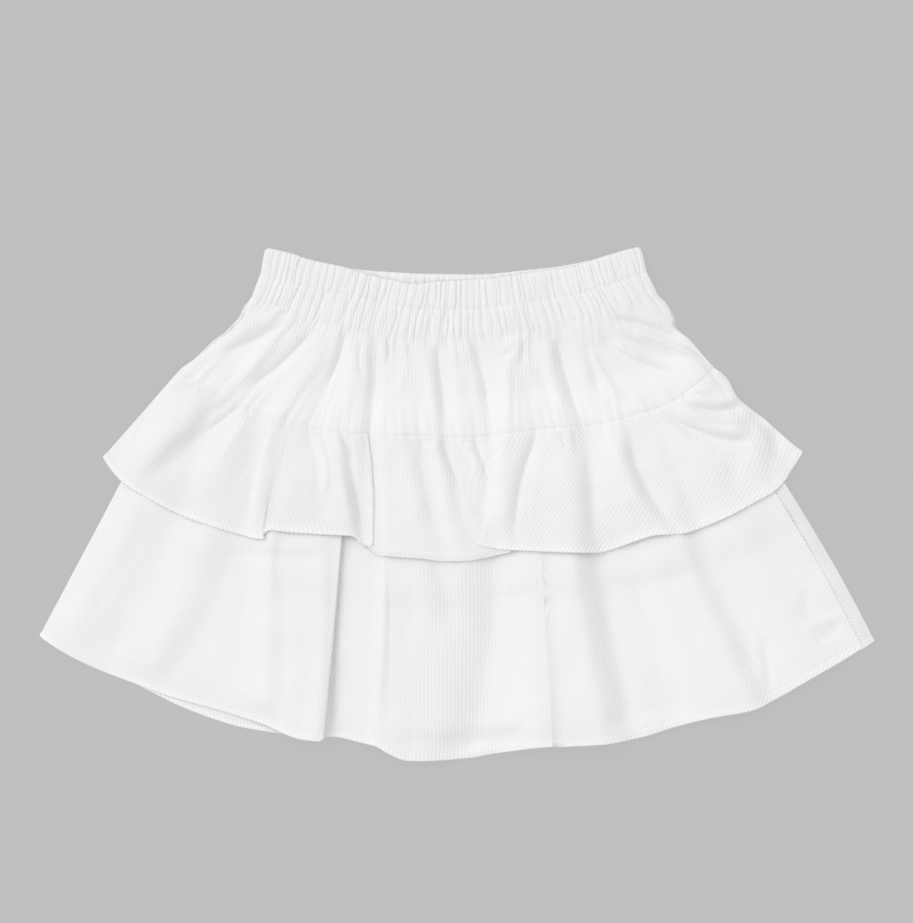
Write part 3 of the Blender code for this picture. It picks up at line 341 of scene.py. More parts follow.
LOWER_CREASES = (
    ("line", -80.5, -10.5, -83.5, -112.0, -87.0, -217.5, -1.8, 4.4, 4.4),
    ("line", -203.0, -4.0, -225.5, -45.5, -256.5, -94.0, -0.6, 5.0, 6.5),
    ("wall", 83.5, -10.5, 96.5, -94.0, 118.5, -190.5, 1.9, 8.5, 12.0),
    ("line", -52.5, -156.0, 3.5, -158.5, 59.0, -149.5, -1.7, 7.0, 6.5),
    ("wall", -57.0, -170.5, -53.5, -90.5, -51.0, -27.5, 0.6, 2.6, 3.4),
    ("wall", -118.5, -28.0, -118.5, -90.5, -119.0, -145.5, 0.4, 3.4, 3.0),
    ("wall", -81.5, -31.5, -121.0, -31.5, -161.5, -27.5, 1.2, 3.4, 7.0),
    ("wall", 56.5, -54.5, 39.0, -57.5, 21.0, -57.5, 0.5, 2.4, 9.0),
    ("wall", 162.5, -38.5, 125.5, -49.5, 89.0, -45.5, 0.6, 3.6, 12.0),
    ("line", -49.0, -41.5, -49.5, -90.5, -54.5, -145.5, 1.3, 3.4, 1.7),
    ("line", -45.0, -34.5, -45.0, -97.5, -45.5, -158.5, -0.35, 0.8, 0.9),
    ("line", 56.5, -32.0, 60.5, -94.0, 65.0, -163.5, -0.2, 0.8, 0.9),
    ("wall", 46.5, -150.5, 17.0, -154.0, -16.5, -158.5, 1.3, 6.0, 6.5),
    ("wall", 162.5, -138.5, 122.5, -145.5, 95.5, -154.0, -0.5, 4.0, 5.0),
    ("wall", -23.0, -35.5, -12.5, -58.5, -7.0, -88.5, 1.2, 5.5, 8.5),
    ("line", 257.0, -78.5, 246.5, -88.0, 234.5, -92.0, -1.1, 3.0, 3.0),
    ("line", 227.5, -84.0, 245.0, -77.5, 262.5, -71.5, 1.2, 2.6, 3.0),
    ("line", 237.0, -56.0, 233.0, -66.5, 237.0, -77.5, -0.9, 3.5, 3.5),
    ("line", -225.5, -90.5, -229.5, -100.5, -232.5, -109.5, -0.5, 4.0, 4.0),
    ("wall", 201.0, -88.0, 205.0, -105.5, 207.5, -126.5, 0.9, 2.2, 3.5),
)

SEED = 20


# ------------------------------------------------------------ interpolation
def slopes(knots, values):
    steps = np.diff(knots)
    rises = np.diff(values, axis=0)
    shape = (-1,) + (1,) * (values.ndim - 1)
    rates = rises / steps.reshape(shape)
    out = np.zeros_like(values)
    out[0], out[-1] = rates[0], rates[-1]
    same = rates[:-1] * rates[1:] > 0
    total = rates[:-1] + rates[1:]
    safe = np.where(same, total, 1.0)
    out[1:-1] = np.where(same, 2.0 * rates[:-1] * rates[1:] / safe, 0.0)
    return out


def smooth(knots, values, at):
    knots = np.asarray(knots, float)
    values = np.asarray(values, float)
    at = np.clip(np.asarray(at, float), knots[0], knots[-1])
    tangents = slopes(knots, values)
    i = np.clip(np.searchsorted(knots, at, side="right") - 1, 0, len(knots) - 2)
    width = knots[i + 1] - knots[i]
    t = (at - knots[i]) / width
    shape = (-1,) + (1,) * (values.ndim - 1)
    t, width = t.reshape(shape), width.reshape(shape)
    return (
        (1 + 2 * t) * (1 - t) ** 2 * values[i]
        + t * (1 - t) ** 2 * width * tangents[i]
        + t * t * (3 - 2 * t) * values[i + 1]
        + t * t * (t - 1) * width * tangents[i + 1]
    )


def line_y(line, x):
    table = np.array(line)
    return smooth(table[:, 0], table[:, 1], x)


def ease(t):
    t = np.clip(t, 0.0, 1.0)
    return t * t * (3 - 2 * t)


# ---------------------------------------------------------- layers in stack
class HeightMap:
    """The top of everything laid so far, as a grid of heights."""

    def __init__(self):
        self.x = np.arange(-300.0, 300.0 + CELL, CELL)
        self.y = np.arange(-195.0, 195.0 + CELL, CELL)
        self.z = np.zeros((len(self.x), len(self.y)))

    def add(self, grid, times=3):
        rows = np.linspace(0, grid.shape[0] - 1, (grid.shape[0] - 1) * times + 1)
        cols = np.linspace(0, grid.shape[1] - 1, (grid.shape[1] - 1) * times + 1)
        r0 = np.minimum(rows.astype(int), grid.shape[0] - 2)
        c0 = np.minimum(cols.astype(int), grid.shape[1] - 2)
        fr = (rows - r0)[:, None, None]
        fc = (cols - c0)[None, :, None]
        fine = (
            grid[r0][:, c0] * (1 - fr) * (1 - fc)
            + grid[r0 + 1][:, c0] * fr * (1 - fc)
            + grid[r0][:, c0 + 1] * (1 - fr) * fc
            + grid[r0 + 1][:, c0 + 1] * fr * fc
        ).reshape(-1, 3)
        i = np.rint((fine[:, 0] - self.x[0]) / CELL).astype(int)
        j = np.rint((fine[:, 1] - self.y[0]) / CELL).astype(int)
        np.maximum.at(self.z, (i, j), fine[:, 2])

    def rest(self, reach, blur):
        steps = int(math.ceil(reach / CELL))
        spread = self.z.copy()
        for di in range(-steps, steps + 1):
            for dj in range(-steps, steps + 1):
                if math.hypot(di, dj) * CELL <= reach + 1e-6:
                    spread = np.maximum(spread, np.roll(self.z, (di, dj), (0, 1)))
        for _ in range(blur):
            spread = (
                2 * spread
                + np.roll(spread, 1, 0) + np.roll(spread, -1, 0)
                + np.roll(spread, 1, 1) + np.roll(spread, -1, 1)
            ) / 6
        return spread

    def sample(self, field, x, y):
        fx = np.clip((x - self.x[0]) / CELL, 0, len(self.x) - 1.001)
        fy = np.clip((y - self.y[0]) / CELL, 0, len(self.y) - 1.001)
        i, j = fx.astype(int), fy.astype(int)
        a, b = fx - i, fy - j
        return (
            field[i, j] * (1 - a) * (1 - b) + field[i + 1, j] * a * (1 - b)
            + field[i, j + 1] * (1 - a) * b + field[i + 1, j + 1] * a * b
        )


# ------------------------------------------------------------------- panels
def fold_lines(folds, top_line, hem_line, v, z_place, top_in, hem_in):
    """The lines of the fold table as points: one line for each row."""
    lines = []
    for row in folds:
        if hem_line is None:
            _, x_top, x_mid, x_hem, y_hem, z_top, z_mid, z_hem, _ = row
        else:
            _, x_top, x_mid, x_hem, z_top, z_mid, z_hem, _ = row
            y_hem = float(line_y(hem_line, [x_hem])[0])
        y_top = float(line_y(top_line, [x_top])[0])
        x_half = (x_top + x_hem) / 2 if x_mid is None else x_mid
        bulge = x_half - (x_top + x_hem) / 2
        length = math.hypot(x_hem - x_top, y_hem - y_top)
        place = top_in / length + v * (1 - (top_in + hem_in) / length)
        x = x_top + (x_hem - x_top) * place + 4 * bulge * place * (1 - place)
        y = y_top + (y_hem - y_top) * place
        z = smooth((0.0, z_place, 1.0), np.array((z_top, z_mid, z_hem)), place)
        lines.append(np.stack([x, y, z], 1))
    return np.array(lines)


def draw_in(lines, v, sides):
    """Bring the side edges of a panel in by the amounts in a table of sides."""
    table = np.array(sides)
    lines[0, :, 0] += smooth(table[:, 0], table[:, 1], v)
    lines[-1, :, 0] -= smooth(table[:, 0], table[:, 2], v)
    return lines


def rows_between(length, step, fine, fine_reach):
    """Places down a panel, closer together near both edges."""
    middle = np.arange(fine_reach, length - fine_reach, step)
    top = np.arange(0.0, fine_reach, fine)
    return np.concatenate([top, middle, length - top[::-1]]) / length


def spread_columns(lines, step):
    """Column places that are evenly spaced on the cloth near the hem."""
    dense = np.linspace(0, len(lines) - 1, (len(lines) - 1) * 60 + 1)
    points = smooth(np.arange(len(lines)), lines, dense)
    parts = []
    for j in (int(lines.shape[1] * 0.5), lines.shape[1] - 1):
        move = np.linalg.norm(np.diff(points[:, j], axis=0), axis=1)
        parts.append(move)
    run = np.concatenate([[0.0], np.cumsum(np.max(parts, axis=0))])
    count = int(run[-1] / step) + 1
    return np.interp(np.linspace(0, run[-1], count), run, dense)


def panel(folds, top_line, hem_line, length, z_place, top_in, hem_in, sides=None, step=1.7, down=2.4):
    v = rows_between(length, down, 0.6, 4.5)
    lines = fold_lines(folds, top_line, hem_line, v, z_place, top_in, hem_in)
    if sides is not None:
        lines = draw_in(lines, v, sides)
    turned = [k for k, row in enumerate(folds) if row[0] == "turn under"]
    at = spread_columns(lines, step)
    at = np.unique(np.concatenate([at] + [[k - 0.012, k + 0.012] for k in turned]))
    grid = smooth(np.arange(len(folds)), lines, at)
    grain = np.interp(at, np.arange(len(folds)), [row[-1] for row in folds])
    return grid, grain, v, at


def add_creases(grid, table):
    """Soft grooves and ridges along curves placed on the panel."""
    for kind, x1, y1, x2, y2, x3, y3, height, left, right in table:
        t = np.linspace(0, 1, 25)[:, None]
        a, m, b = np.array((x1, y1)), np.array((x2, y2)), np.array((x3, y3))
        control = 2 * m - (a + b) / 2
        curve = (1 - t) ** 2 * a + 2 * t * (1 - t) * control + t * t * b
        reach = 4 * max(left, right)
        low, high = curve.min(0) - reach, curve.max(0) + reach
        near = (
            (grid[:, :, 0] > low[0]) & (grid[:, :, 0] < high[0])
            & (grid[:, :, 1] > low[1]) & (grid[:, :, 1] < high[1])
        )
        p = grid[near][:, :2]
        if not len(p):
            continue
        best = np.full(len(p), 1e9)
        side = np.zeros(len(p))
        along = np.zeros(len(p))
        for k in range(len(curve) - 1):
            s, d = curve[k], curve[k + 1] - curve[k]
            w = np.clip(((p - s) @ d) / (d @ d), 0, 1)
            off = p - s - w[:, None] * d
            dist = np.hypot(off[:, 0], off[:, 1])
            closer = dist < best
            best[closer] = dist[closer]
            side[closer] = (d[0] * off[:, 1] - d[1] * off[:, 0])[closer]
            along[closer] = ((k + w) / (len(curve) - 1))[closer]
        width = np.where(side > 0, left, right)
        fade = ease(along / 0.22) * ease((1 - along) / 0.30)
        if kind == "wall":
            step = np.where(side > 0, best, -best) / width
            drop = -height * fade * step * np.exp((1 - step * step) / 2)
        else:
            drop = height * fade * np.exp(-((best / width) ** 2))
        z = grid[:, :, 2]
        z[near] += drop
        grid[:, :, 2] = z
    return grid


def soft_noise(grid, scale, height, seed):
    """Slow unevenness from a few crossing waves."""
    rng = np.random.default_rng(seed)
    total = np.zeros(grid.shape[:2])
    for _ in range(9):
        angle = rng.uniform(0, math.pi)
        wave = scale * rng.uniform(0.7, 1.9)
        phase = rng.uniform(0, 2 * math.pi)
        k = 2 * math.pi / wave
        total += np.sin(
            k * (grid[:, :, 0] * math.cos(angle) + grid[:, :, 1] * math.sin(angle)) + phase
        )
    return total * height / 3.0


def gathers(grid, run, v_mm, pitch, height, reach, seed):
    """Puckers that start at a seam and die out down the panel."""
    rng = np.random.default_rng(seed)
    out = np.zeros(grid.shape[:2])
    place = 0.0
    while place < run[-1]:
        place += pitch * rng.uniform(0.55, 1.5)
        wide = pitch * rng.uniform(0.20, 0.36)
        deep = height * rng.uniform(0.35, 1.0)
        far = reach * rng.uniform(0.45, 1.35)
        lean = rng.uniform(-0.12, 0.12)
        centre = place + lean * v_mm[None, :]
        d = (run[:, None] - centre) / (wide * (1 + v_mm[None, :] / (2.2 * far)))
        out -= deep * np.exp(-(d * d)) * np.exp(-((v_mm[None, :] / far) ** 2))
    return out


def normals_of(grid):
    du = np.gradient(grid, axis=0)
    dv = np.gradient(grid, axis=1)
    n = np.cross(dv, du)
    n /= np.maximum(np.linalg.norm(n, axis=2, keepdims=True), 1e-9)
    return n


def rib_field(grid, grain, v0=0.55, sections=None):
    """Distance across the ribs, so that they run at the grain's angle."""
    nu, nv = grid.shape[:2]
    dx = np.diff(grid[:, :, 0], axis=0)
    dz = np.diff(grid[:, :, 2], axis=0)
    dy = np.diff(grid[:, :, 1], axis=0)
    flat = np.sqrt(dx * dx + dz * dz)
    sections = sections or [(0, nu)]
    field = np.zeros((nu, nv))
    along = np.zeros((nu, nv))
    j0 = int(nv * v0)
    angle = np.radians(grain)
    middle = (angle[1:] + angle[:-1]) / 2
    step0 = flat[:, j0] * np.sin(middle) - dy[:, j0] * np.cos(middle)
    base = np.concatenate([[0.0], np.cumsum(step0)])
    for first, last in sections:
        ref = (first + last) // 2
        run = np.zeros((nu, nv))
        run[1:] = np.cumsum(flat, axis=0)
        run = run - run[ref] + grid[ref, :, 0]
        block = slice(first, last)
        a = angle[block, None]
        field[block] = (
            base[block, None]
            + (run[block] - run[block, j0:j0 + 1]) * np.sin(a)
            - (grid[block, :, 1] - grid[block, j0:j0 + 1, 1]) * np.cos(a)
        )
        along[block] = run[block] * np.cos(a) + grid[block, :, 1] * np.sin(a)
    return field, along


def thick_sheet(grid, thickness):
    """Both faces of a sheet, and the normals that its rounded rim is built from."""
    n = normals_of(grid)
    half = (thickness / 2)[:, :, None] if np.ndim(thickness) else thickness / 2
    return grid + n * half, grid - n * half, n


def make_mesh(name, points, quads, uvs, marks):
    mesh = bpy.data.meshes.new(name)
    points = (points - np.array(CENTRE + (0.0,))) / 1000.0
    mesh.vertices.add(len(points))
    mesh.vertices.foreach_set("co", points.astype(np.float32).ravel())
    loops = np.asarray(quads, np.int32)
    mesh.loops.add(loops.size)
    mesh.loops.foreach_set("vertex_index", loops.ravel())
    mesh.polygons.add(len(loops))
    mesh.polygons.foreach_set("loop_start", np.arange(0, loops.size, 4, dtype=np.int32))
    mesh.update(calc_edges=True)
    for title, values in (("Grain", uvs), ("Marks", marks)):
        layer = mesh.uv_layers.new(name=title)
        layer.data.foreach_set("uv", values[loops.ravel()].astype(np.float32).ravel())
    mesh.validate()
    mesh.shade_smooth()
    made = bpy.data.objects.new(name, mesh)
    bpy.context.scene.collection.objects.link(made)
    return made


def shell(name, grid, thickness, ribs, along, floor=None, from_hem=None, clear=1.0):
    """A closed thin shell round the middle surface `grid`."""
    thick = np.broadcast_to(np.asarray(thickness, float), grid.shape[:2])
    up, low, n = thick_sheet(grid, thick)
    if floor is not None:
        low[:, :, 2] = np.maximum(low[:, :, 2], floor)
    nu, nv = grid.shape[:2]
    count = nu * nv
    index = np.arange(count).reshape(nu, nv)
    a, b = index[:-1, :-1], index[1:, :-1]
    c, d = index[1:, 1:], index[:-1, 1:]
    top = np.stack([a, d, c, b], -1).reshape(-1, 4)
    under = np.stack([a, b, c, d], -1).reshape(-1, 4) + count
    rim = [(i, 0) for i in range(nu)] + [(nu - 1, j) for j in range(1, nv)]
    rim += [(i, nv - 1) for i in range(nu - 2, -1, -1)]
    rim += [(0, j) for j in range(nv - 2, 0, -1)]
    ri = np.array([p[0] for p in rim])
    rj = np.array([p[1] for p in rim])
    centre = grid[ri, rj]
    inner = grid[np.clip(ri, 1, nu - 2), np.clip(rj, 1, nv - 2)]
    out = centre - inner
    normal = n[ri, rj]
    out -= normal * np.sum(out * normal, 1, keepdims=True)
    out /= np.maximum(np.linalg.norm(out, axis=1, keepdims=True), 1e-9)
    half = thick[ri, rj][:, None] / 2
    rings = [ri * nv + rj]
    extra = []
    for turn in (45, 90, 135):
        angle = math.radians(turn)
        p = centre + normal * half * math.cos(angle) + out * half * math.sin(angle)
        if floor is not None:
            p[:, 2] = np.maximum(p[:, 2], floor)
        rings.append(2 * count + len(extra) * len(rim) + np.arange(len(rim)))
        extra.append(p)
    rings.append(count + ri * nv + rj)
    edge = []
    for k in range(4):
        p, q = rings[k], rings[k + 1]
        edge.append(np.stack([p, np.roll(p, -1), np.roll(q, -1), q], 1))
    points = np.concatenate([up.reshape(-1, 3), low.reshape(-1, 3)] + extra)
    uv = np.stack([ribs, along], -1) / 1000.0
    flat_uv = uv.reshape(-1, 2)
    rim_uv = uv[ri, rj]
    uvs = np.concatenate([flat_uv, flat_uv] + [rim_uv] * 3)
    hem = np.full(grid.shape[:2], 30.0) if from_hem is None else from_hem
    marks = np.stack(np.broadcast_arrays(hem / 1000.0, clear * np.ones((nu, nv))), -1)
    flat_marks = marks.reshape(-1, 2)
    marks = np.concatenate([flat_marks, flat_marks] + [marks[ri, rj]] * 3)
    made = make_mesh(name, points, np.concatenate([top, under] + edge), uvs, marks)
    return made, up, low


def hem_thickness(v_mm, length):
    from_hem = length - v_mm
    thick = CLOTH + HEM_EXTRA * ease((HEM_WIDTH + 0.3 - from_hem) / 1.3)
    thick = thick - 0.10 * np.exp(-(((from_hem - HEM_WIDTH - 0.4) / 0.5) ** 2))
    return thick


def settle(grid, tiers, v_mm, length, thick, share, reach, close, blur):
    """Bring a hem down towards what it lies on."""
    under = tiers.sample(tiers.rest(close, blur), grid[:, :, 0], grid[:, :, 1])
    near = ease(1 - (length - v_mm) / reach)[None, :]
    lift = np.maximum(grid[:, :, 2] - (under + thick / 2 + 0.12), 0.0)
    grid[:, :, 2] -= share * near * lift
    return grid


def seam_roll(v_mm, length, top, bottom):
    """How far a panel dips where a seam pulls its edge down."""
    dip = np.zeros_like(v_mm)
    if top:
        dip += top * np.exp(-((v_mm / 1.5) ** 2))
    if bottom:
        dip += bottom * np.exp(-(((length - v_mm) / 1.5) ** 2))
    return dip


# ------------------------------------------------------------ the waistband
BAND_LEAN = (          # columns: share of the width, lean from top to seam, mm
    (0.00, 0.0), (0.10, -4.5), (0.30, -7.0), (0.45, -4.5), (0.58, 0.0),
    (0.72, 4.0), (0.90, 5.0), (1.00, 0.0),
)


def crinkle_places(count, seed):
    """Where the gathers of the waistband are, and how each one wanders."""
    rng = np.random.default_rng(seed)
    gaps = rng.uniform(0.55, 1.5, count + 1)
    place = np.cumsum(gaps)[:-1] / gaps.sum()
    return {
        "place": place,
        "wide": rng.uniform(0.13, 0.27, count),
        "upper": rng.uniform(0.35, 1.0, count),
        "lower": rng.uniform(0.35, 1.0, count),
        "lean": rng.uniform(-0.35, 0.35, count),
        "bend": rng.uniform(-0.22, 0.22, count),
        "shift": rng.uniform(-0.35, 0.35, count) * (rng.random(count) < 0.45),
        "small": list(zip(
            rng.uniform(0.005, 0.995, 3 * count), rng.uniform(0.09, 0.16, 3 * count),
            rng.uniform(0.10, 0.45, 3 * count), rng.uniform(0.0, 1.0, 3 * count),
            rng.uniform(0.08, 0.35, 3 * count), rng.uniform(-1.2, 1.2, 3 * count),
        )),
    }


def crinkle_field(share, t, found):
    """How deep the band is pulled in, 0 on a crest and about 1 in a groove."""
    count = len(found["place"])
    pitch = 1.0 / count
    keep = np.ones((len(share), len(t)))
    for k in range(count):
        low = ease((t - 0.42) / 0.16)
        place = found["place"][k]
        bias = float(np.interp(place, *np.array(BAND_LEAN).T)) / 268.0
        centre = place + bias * (t - 0.5) + pitch * (
            found["lean"][k] * (t - 0.5)
            + found["bend"][k] * np.sin(2 * math.pi * t)
            + found["shift"][k] * low
        )
        deep = found["upper"][k] * (1 - low) + found["lower"][k] * low
        wide = found["wide"][k] * pitch * (1 + 0.25 * np.sin(3 * math.pi * t + k))
        d = (share[:, None] - centre[None, :]) / wide[None, :]
        keep *= 1 - deep[None, :] * np.exp(-np.abs(d) ** 1.5)
    for place, wide, deep, middle, reach, lean in found["small"]:
        bias = float(np.interp(place, *np.array(BAND_LEAN).T)) / 268.0
        centre = place + (bias + lean * pitch) * (t - 0.5)
        d = (share[:, None] - centre[None, :]) / (wide * pitch)
        only = np.exp(-(((t - middle) / reach) ** 2))
        keep *= 1 - deep * only[None, :] * np.exp(-np.abs(d) ** 1.5)
    return 1 - keep


def waistband(name, top_line, base, height, count, depth, seed, step=0.75):
    found = crinkle_places(count, seed)
    length = 268.0
    columns = int(length / step) + 1
    share = np.linspace(0.0, 1.0, columns)
    t = np.concatenate([
        np.array((0.0, 0.008, 0.02, 0.036, 0.056, 0.08)),
        np.linspace(0.11, 0.90, 30),
        np.array((0.925, 0.945, 0.962, 0.976, 0.988, 1.0)),
    ])
    groove = crinkle_field(share, t, found)
    edges = []
    for line in (top_line, STITCH_LINE, WAIST_LINE):
        table = np.array(line)
        x = table[0, 0] + (table[-1, 0] - table[0, 0]) * share
        edges.append(np.stack([x, line_y(line, x)], 1))
    top, stitch, seam = edges
    from_end = np.minimum(share, 1 - share) * length
    radius = 3.2
    inside = np.clip(1 - from_end / radius, 0, 1)
    corner = radius * (1 - np.sqrt(np.maximum(1 - inside ** 2, 0)))
    across = seam - top
    across /= np.linalg.norm(across, axis=1, keepdims=True)
    top = top + across * (0.45 + corner + 0.3 * groove[:, 0])[:, None]
    seam = seam - across * 0.30
    half = np.clip(t / 0.5, 0, 1)[None, :, None]
    rest = np.clip((t - 0.5) / 0.5, 0, 1)[None, :, None]
    upper = top[:, None] + (stitch - top)[:, None] * half
    lower = stitch[:, None] + (seam - stitch)[:, None] * rest
    xy = np.where((t <= 0.5)[None, :, None], upper, lower)
    # Sections: full over each channel, a little in at the stitching, round
    # at the top edge and drawn in at the seam.
    span = np.linalg.norm(seam - top, axis=1).mean()
    from_top = t * span
    from_seam = (1 - t) * span
    round_top = np.sqrt(np.clip(1 - np.clip(1 - from_top / 2.2, 0, 1) ** 2, 0.03, 1))
    fall = 1 - 0.05 * np.exp(-((from_seam / 1.8) ** 2))
    pinch = 1 - 0.16 * np.exp(-(((t - 0.5) * span / 1.5) ** 2))
    swell = 0.93 + 0.07 * np.abs(np.sin(2 * math.pi * t))
    profile = (round_top * fall * pinch * swell)[None, :] * height
    rng = np.random.default_rng(seed + 5)
    lumps = 0.86 + 0.14 * np.interp(
        share, np.linspace(0, 1, 31), rng.uniform(0, 1, 31)
    )
    tail = np.clip(from_end / 2.0, 0, 1)
    tail = np.sqrt(np.clip(1 - (1 - tail) ** 2, 0.05, 1))
    high = profile * (lumps * tail)[:, None] - depth * groove * (0.35 + 0.65 * round_top)
    high = np.maximum(high, 0.5 * profile * tail[:, None] + 0.2)
    low = 0.25 * depth * groove
    low = np.minimum(low, high - 0.5)
    grid = np.dstack([xy, base + (high + low) / 2])
    ribs = share[:, None] * length * 1.3 + 0.0 * t[None, :]
    wide = np.broadcast_to(from_top[None, :], ribs.shape)
    made = shell(name, grid, high - low, ribs, wide, floor=0.0)[0]
    edge = np.stack([xy[:, -1, 0], base + high[:, -1]], 1)
    return made, found, edge


# ---------------------------------------------------------------- materials
def knit(name, rib_pitch, rib_height, stitch_height, tint):
    """White rib knit: ribs, the loops along them, a soft uneven tone, painted shade in the rib grooves
    and a painted highlight along the hem.
    """
    made = bpy.data.materials.new(name)
    made.use_nodes = True
    nodes, links = made.node_tree.nodes, made.node_tree.links
    shader = nodes["Principled BSDF"]
    shader.inputs["Metallic"].default_value = 0.0
    shader.inputs["Specular IOR Level"].default_value = 0.25
    shader.inputs["Sheen Weight"].default_value = 0.12
    shader.inputs["Sheen Roughness"].default_value = 0.55

    def node(kind, **sockets):
        made_node = nodes.new(kind)
        for key, value in sockets.items():
            made_node.inputs[key].default_value = value
        return made_node

    def calc(operation, a, b=None, c=None):
        step = nodes.new("ShaderNodeMath")
        step.operation = operation
        for i, value in enumerate((a, b, c)):
            if value is None:
                continue
            if isinstance(value, (int, float)):
                step.inputs[i].default_value = value
            else:
                links.new(value, step.inputs[i])
        return step.outputs[0]

    place = nodes.new("ShaderNodeTexCoord")
    grain = nodes.new("ShaderNodeUVMap")
    grain.uv_map = "Grain"
    split = nodes.new("ShaderNodeSeparateXYZ")
    links.new(grain.outputs["UV"], split.inputs[0])

    marks = nodes.new("ShaderNodeUVMap")
    marks.uv_map = "Marks"
    mark = nodes.new("ShaderNodeSeparateXYZ")
    links.new(marks.outputs["UV"], mark.inputs[0])
    slow = node("ShaderNodeTexNoise", Scale=28.0, Detail=2.0, Roughness=0.5)
    links.new(place.outputs["Object"], slow.inputs["Vector"])
    fine = node("ShaderNodeTexNoise", Scale=900.0, Detail=3.0, Roughness=0.6)
    links.new(place.outputs["Object"], fine.inputs["Vector"])
    mid = node("ShaderNodeTexNoise", Scale=160.0, Detail=2.0, Roughness=0.5)
    links.new(place.outputs["Object"], mid.inputs["Vector"])

    # Ribs wander by a fraction of their pitch.
    sway = calc("MULTIPLY", calc("SUBTRACT", mid.outputs["Fac"], 0.5), 0.45)
    across = calc("MULTIPLY", split.outputs["X"], math.pi / rib_pitch)
    across = calc("ADD", across, sway)
    wave = calc("ABSOLUTE", calc("COSINE", across))
    groove = calc("POWER", wave, 1.9)
    # Loops lean one way on one half of each rib and the other way on the rest.
    lean = calc("MULTIPLY", calc("SINE", calc("MULTIPLY", across, 2.0)), 0.9)
    along = calc("MULTIPLY", split.outputs["Y"], 2 * math.pi / 0.00105)
    loops = calc("SINE", calc("ADD", along, lean))
    crest = calc("SUBTRACT", 1.0, groove)
    loops = calc("MULTIPLY", loops, crest)
    # Ribs are clearer in some places, and drawn up tight in the turned hem.
    strength = calc("MULTIPLY_ADD", slow.outputs["Fac"], 1.5, 0.25)
    strength = calc("MULTIPLY", strength, mark.outputs["Y"])
    edge = nodes.new("ShaderNodeMapRange")
    edge.interpolation_type = "SMOOTHSTEP"
    edge.inputs["From Min"].default_value = 0.0012
    edge.inputs["From Max"].default_value = 0.0036
    edge.inputs["To Min"].default_value = 1.0
    edge.inputs["To Max"].default_value = 0.0
    links.new(mark.outputs["X"], edge.inputs["Value"])
    in_hem = edge.outputs["Result"]
    # Painted highlight: within about 3.4 mm of the hem the base colour is mixed up towards a lighter
    # white, for the light caught by the rounded hem edge.
    rim = nodes.new("ShaderNodeMapRange")
    rim.interpolation_type = "SMOOTHSTEP"
    rim.inputs["From Min"].default_value = 0.0010
    rim.inputs["From Max"].default_value = 0.0034
    rim.inputs["To Min"].default_value = 0.55
    rim.inputs["To Max"].default_value = 0.0
    links.new(mark.outputs["X"], rim.inputs["Value"])
    strength = calc("MULTIPLY_ADD", in_hem, 0.7, strength)

    height = calc("MULTIPLY", calc("MULTIPLY", groove, strength), -rib_height)
    height = calc("MULTIPLY_ADD", loops, stitch_height, height)
    height = calc("MULTIPLY_ADD", fine.outputs["Fac"], 0.00006, height)
    bump = node("ShaderNodeBump", Strength=1.0, Distance=1.0)
    links.new(height, bump.inputs["Height"])
    links.new(bump.outputs["Normal"], shader.inputs["Normal"])

    # Colour: painted shade in the grooves, mixed towards a darker olive grey where shade falls between
    # the ribs, as deep as the rib strength; with a slow faint drift of tone.
    shade = calc("MULTIPLY", calc("MULTIPLY", groove, strength), 0.055)
    shade = calc("MULTIPLY_ADD", slow.outputs["Fac"], 0.020, shade)
    shade = calc("MULTIPLY_ADD", fine.outputs["Fac"], 0.030, shade)
    colour = nodes.new("ShaderNodeMix")
    colour.data_type = "RGBA"
    colour.inputs[6].default_value = tint + (1.0,)
    # Painted shade: the olive grey that the rib grooves are darkened towards.
    colour.inputs[7].default_value = (0.42, 0.41, 0.35, 1.0)
    links.new(shade, colour.inputs[0])
    # The painted hem highlight is mixed into the base colour here.
    light = nodes.new("ShaderNodeMix")
    light.data_type = "RGBA"
    light.inputs[7].default_value = (0.97, 0.97, 0.97, 1.0)
    links.new(rim.outputs["Result"], light.inputs[0])
    links.new(colour.outputs[2], light.inputs[6])
    links.new(light.outputs[2], shader.inputs["Base Color"])
    rough = calc("MULTIPLY_ADD", groove, 0.08, 0.84)
    links.new(rough, shader.inputs["Roughness"])
    return made


def plain(name, tint, roughness, glow):
    """A pale surface, partly lit from behind like a light table."""
    made = bpy.data.materials.new(name)
    made.use_nodes = True
    nodes, links = made.node_tree.nodes, made.node_tree.links
    shader = nodes["Principled BSDF"]
    shader.inputs["Base Color"].default_value = tint + (1.0,)
    shader.inputs["Roughness"].default_value = roughness
    shader.inputs["Specular IOR Level"].default_value = 0.1
    shader.inputs["Emission Color"].default_value = (1.0, 1.0, 1.0, 1.0)
    shader.inputs["Emission Strength"].default_value = glow
    return made


# -------------------------------------------------------------------- build
def turns(folds, at):
    """Ranges of columns between the places where the cloth turns under."""
    marks = [0]
    for k, row in enumerate(folds):
        if row[0] == "turn under":
            marks.append(int(np.searchsorted(at, k)))
    marks.append(len(at))
    return list(zip(marks[:-1], marks[1:]))


def row_run(grid, j):
    move = np.linalg.norm(np.diff(grid[:, j], axis=0), axis=1)
    return np.concatenate([[0.0], np.cumsum(move)])


def finish_piece(made, node, slot):
    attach(made, "root")
    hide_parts(node)
    made.data.materials.clear()
    made.data.materials.append(PANEL_KNIT if slot == "rib_knit" else BAND_KNIT)


PANEL_KNIT = knit("white_rib_knit", RIB / 1000, 0.00016, 0.00004, (0.893, 0.891, 0.898))
BAND_KNIT = knit("white_rib_knit_band", RIB / 1000, 0.00016, 0.00004, (0.893, 0.891, 0.898))

EDGE_IN = 0.24         # the rounded rims meet at the seam
facts = {}

# Tiers from the surface up.
tiers = HeightMap()

